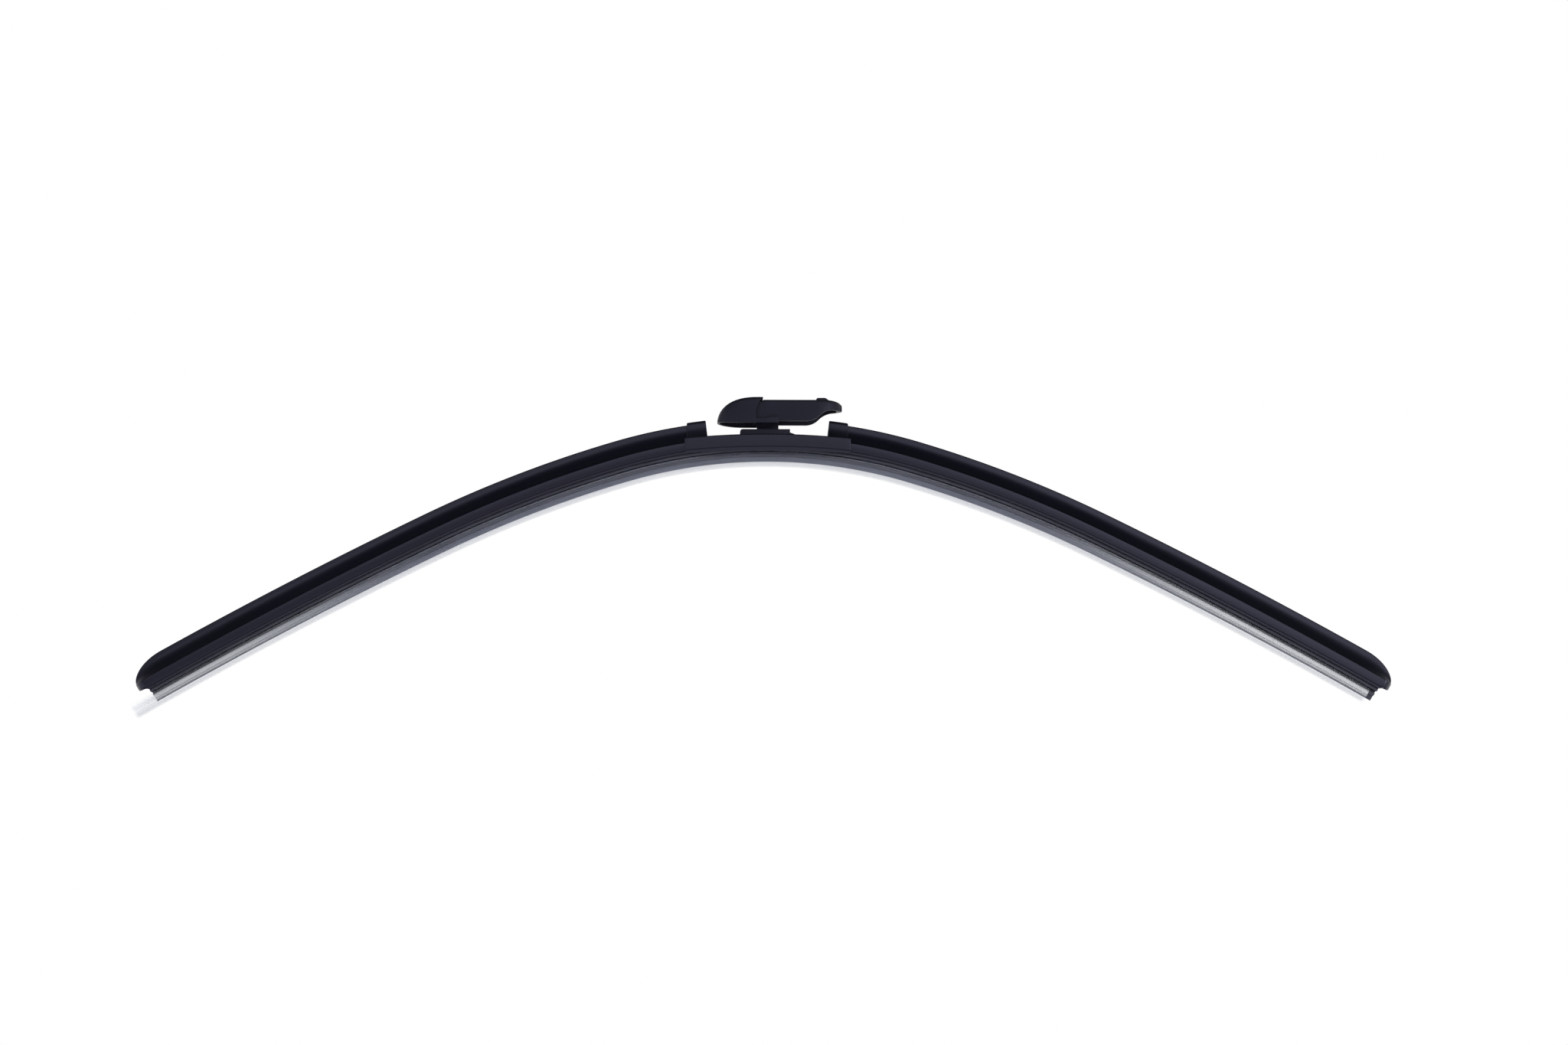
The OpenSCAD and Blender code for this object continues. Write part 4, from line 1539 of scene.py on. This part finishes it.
@dataclass(frozen=True)
class Softbox:
    """A rectangular studio lamp that points at the middle of the blade, in metres and watts."""

    name: str
    place: Place
    size: Point
    power: float
    in_gloss: bool = True
    in_matt: bool = True
    aim: Place = (0.0, 0.0, -0.05)

    def build(self) -> None:
        """Adds the lamp."""
        lamp = bpy.data.lights.new(self.name, "AREA")
        lamp.shape = "RECTANGLE"
        lamp.size, lamp.size_y = self.size
        lamp.energy = self.power
        holder = placed(self.name, lamp)
        holder.location = self.place
        way = Vector(self.aim) - Vector(self.place)
        holder.rotation_euler = way.to_track_quat("-Z", "Y").to_euler()
        holder.visible_glossy = self.in_gloss
        holder.visible_diffuse = self.in_matt


@dataclass(frozen=True)
class PhotoCamera:
    """The camera of the photograph, by its tilts and its place in the tilted view, in millimetres."""

    pitch: float = 0.1048063
    yaw: float = 0.0287365
    roll: float = -0.0016487
    place: Place = (7.514, -1200.0, -55.52)
    lens: float = 59.8
    sensor: float = 36.0
    clip: Point = (0.02, 60.0)

    def build(self) -> None:
        """Adds the camera and makes it the scene's."""
        p, w = self.pitch, self.yaw
        across = Vector((math.cos(w), -math.sin(w), 0.0))
        ahead = Vector((math.sin(w) * math.cos(p), math.cos(w) * math.cos(p), math.sin(p)))
        upward = Vector((-math.sin(w) * math.sin(p), -math.cos(w) * math.sin(p), math.cos(p)))
        x, y, z = self.place
        centre = (across * x + ahead * y + upward * z) * MM
        right = across * math.cos(self.roll) + upward * math.sin(self.roll)
        up = upward * math.cos(self.roll) - across * math.sin(self.roll)
        data = bpy.data.cameras.new("photo camera")
        data.lens, data.sensor_width, data.sensor_fit = self.lens, self.sensor, "HORIZONTAL"
        data.clip_start, data.clip_end = self.clip
        camera = placed("photo camera", data)
        turn = Matrix((right, up, -ahead)).transposed()
        camera.matrix_world = Matrix.Translation(centre) @ turn.to_4x4()
        bpy.context.scene.camera = camera


@dataclass(frozen=True)
class Studio:
    """Floor, lamps and the white room round them, in metres.

    The gloss of the blade shows the room's walls, dim in front and bright behind, and its dark roof. Each
    span is of the part of a direction that points back or up, from where a tone starts to where it ends.
    """

    floor_z: float = -0.36
    floor_r: float = 14.0
    ambient: float = 0.75
    front_light: float = 0.25
    front_reach: Point = (-0.6, 0.1)
    behind_from: Point = (0.05, 0.4)
    front_roof: Point = (0.38, 0.7)
    back_roof: Point = (0.42, 0.7)
    roof_dark: float = 0.97
    lamps: tuple[Softbox, ...] = (
        Softbox("front strip", (0.0, -2.0, 0.86), (2.6, 0.72), 8.2),
        Softbox("right softbox", (0.8, -1.8, 0.24), (0.6, 0.7), 2.2),
        Softbox("right gloss light", (1.5, -1.25, 0.04), (0.35, 0.4), 7.0, in_matt=False),
        Softbox("left softbox", (-1.7, -0.9, 0.2), (0.6, 0.7), 1.4),
        Softbox("overhead key", (-0.5, -0.4, 1.6), (1.2, 1.2), 10.0, in_gloss=False),
    )

    def room(self) -> None:
        """Sets the world: white to the camera, and darker overhead for what the gloss shows."""
        world = bpy.data.worlds.new("studio")
        bpy.context.scene.world = world
        world.use_nodes = True
        world.cycles.sampling_method = "NONE"
        graph = Graph(world.node_tree)
        seen, clear, gloss = (graph.ray(kind) for kind in ("Camera", "Transmission", "Glossy"))
        way = graph.node("TexCoord", output="Generated")
        back, up = graph.axis(way, 1), graph.axis(way, 2)
        behind = back.smooth(*self.behind_from)
        dark = up.smooth(*self.front_roof) * (1.0 - behind) + up.smooth(*self.back_roof) * behind
        walls = self.front_light + (1.0 - self.front_light) * back.smooth(*self.front_reach)
        shine = gloss * walls * (1.0 - self.roof_dark * dark) + (1.0 - gloss) * self.ambient
        direct = seen + clear * (1.0 - seen)
        strength = direct + (1.0 - direct) * shine
        sky = graph.node("Background", {"Color": (1.0, 1.0, 1.0), "Strength": strength})
        graph.node("OutputWorld", {"Surface": sky})

    def floor(self) -> None:
        """Adds the round floor."""
        mesh = bpy.data.meshes.new("studio_floor")
        with editing(mesh) as shell:
            bmesh.ops.create_circle(shell, cap_ends=True, segments=96, radius=self.floor_r)
        floor = placed("studio_floor", mesh)
        floor.location.z = self.floor_z
        mesh.materials.append(FLOOR.material())
        floor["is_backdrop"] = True

    def build(self) -> None:
        """Builds the studio."""
        self.room()
        self.floor()
        for lamp in self.lamps:
            lamp.build()
        bpy.context.scene.view_settings.view_transform = "Standard"


def corners() -> list[list[float]]:
    """Returns the box of everything shown, as two plain corners."""
    return [[float(v) for v in corner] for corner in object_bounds()]


def main() -> None:
    """Builds the wiper blade and its studio."""
    logging.basicConfig(level=logging.INFO, format="%(message)s", stream=sys.stdout)
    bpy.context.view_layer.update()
    PhotoCamera().build()
    arch, profile, shape = Arch(), SpoilerProfile(), AdapterShape()
    assemblies = [
        WiperRubber(arch), SpringRails(), *(Spoiler(arch, profile, side) for side in Side),
        *(EndCap(arch, profile, side) for side in Side), BridgeCover(arch, profile), Saddle(),
        AdapterBody(shape), NoseCover(shape), LockButton(), EdgeGuard(arch),
    ]
    for assembly in assemblies:
        for piece in assembly.build():
            LOG.info("%s: %d faces, %s", piece.name, len(piece.data.polygons), type(assembly).__name__)
    Studio().build()


if __name__ == "__main__":
    main()
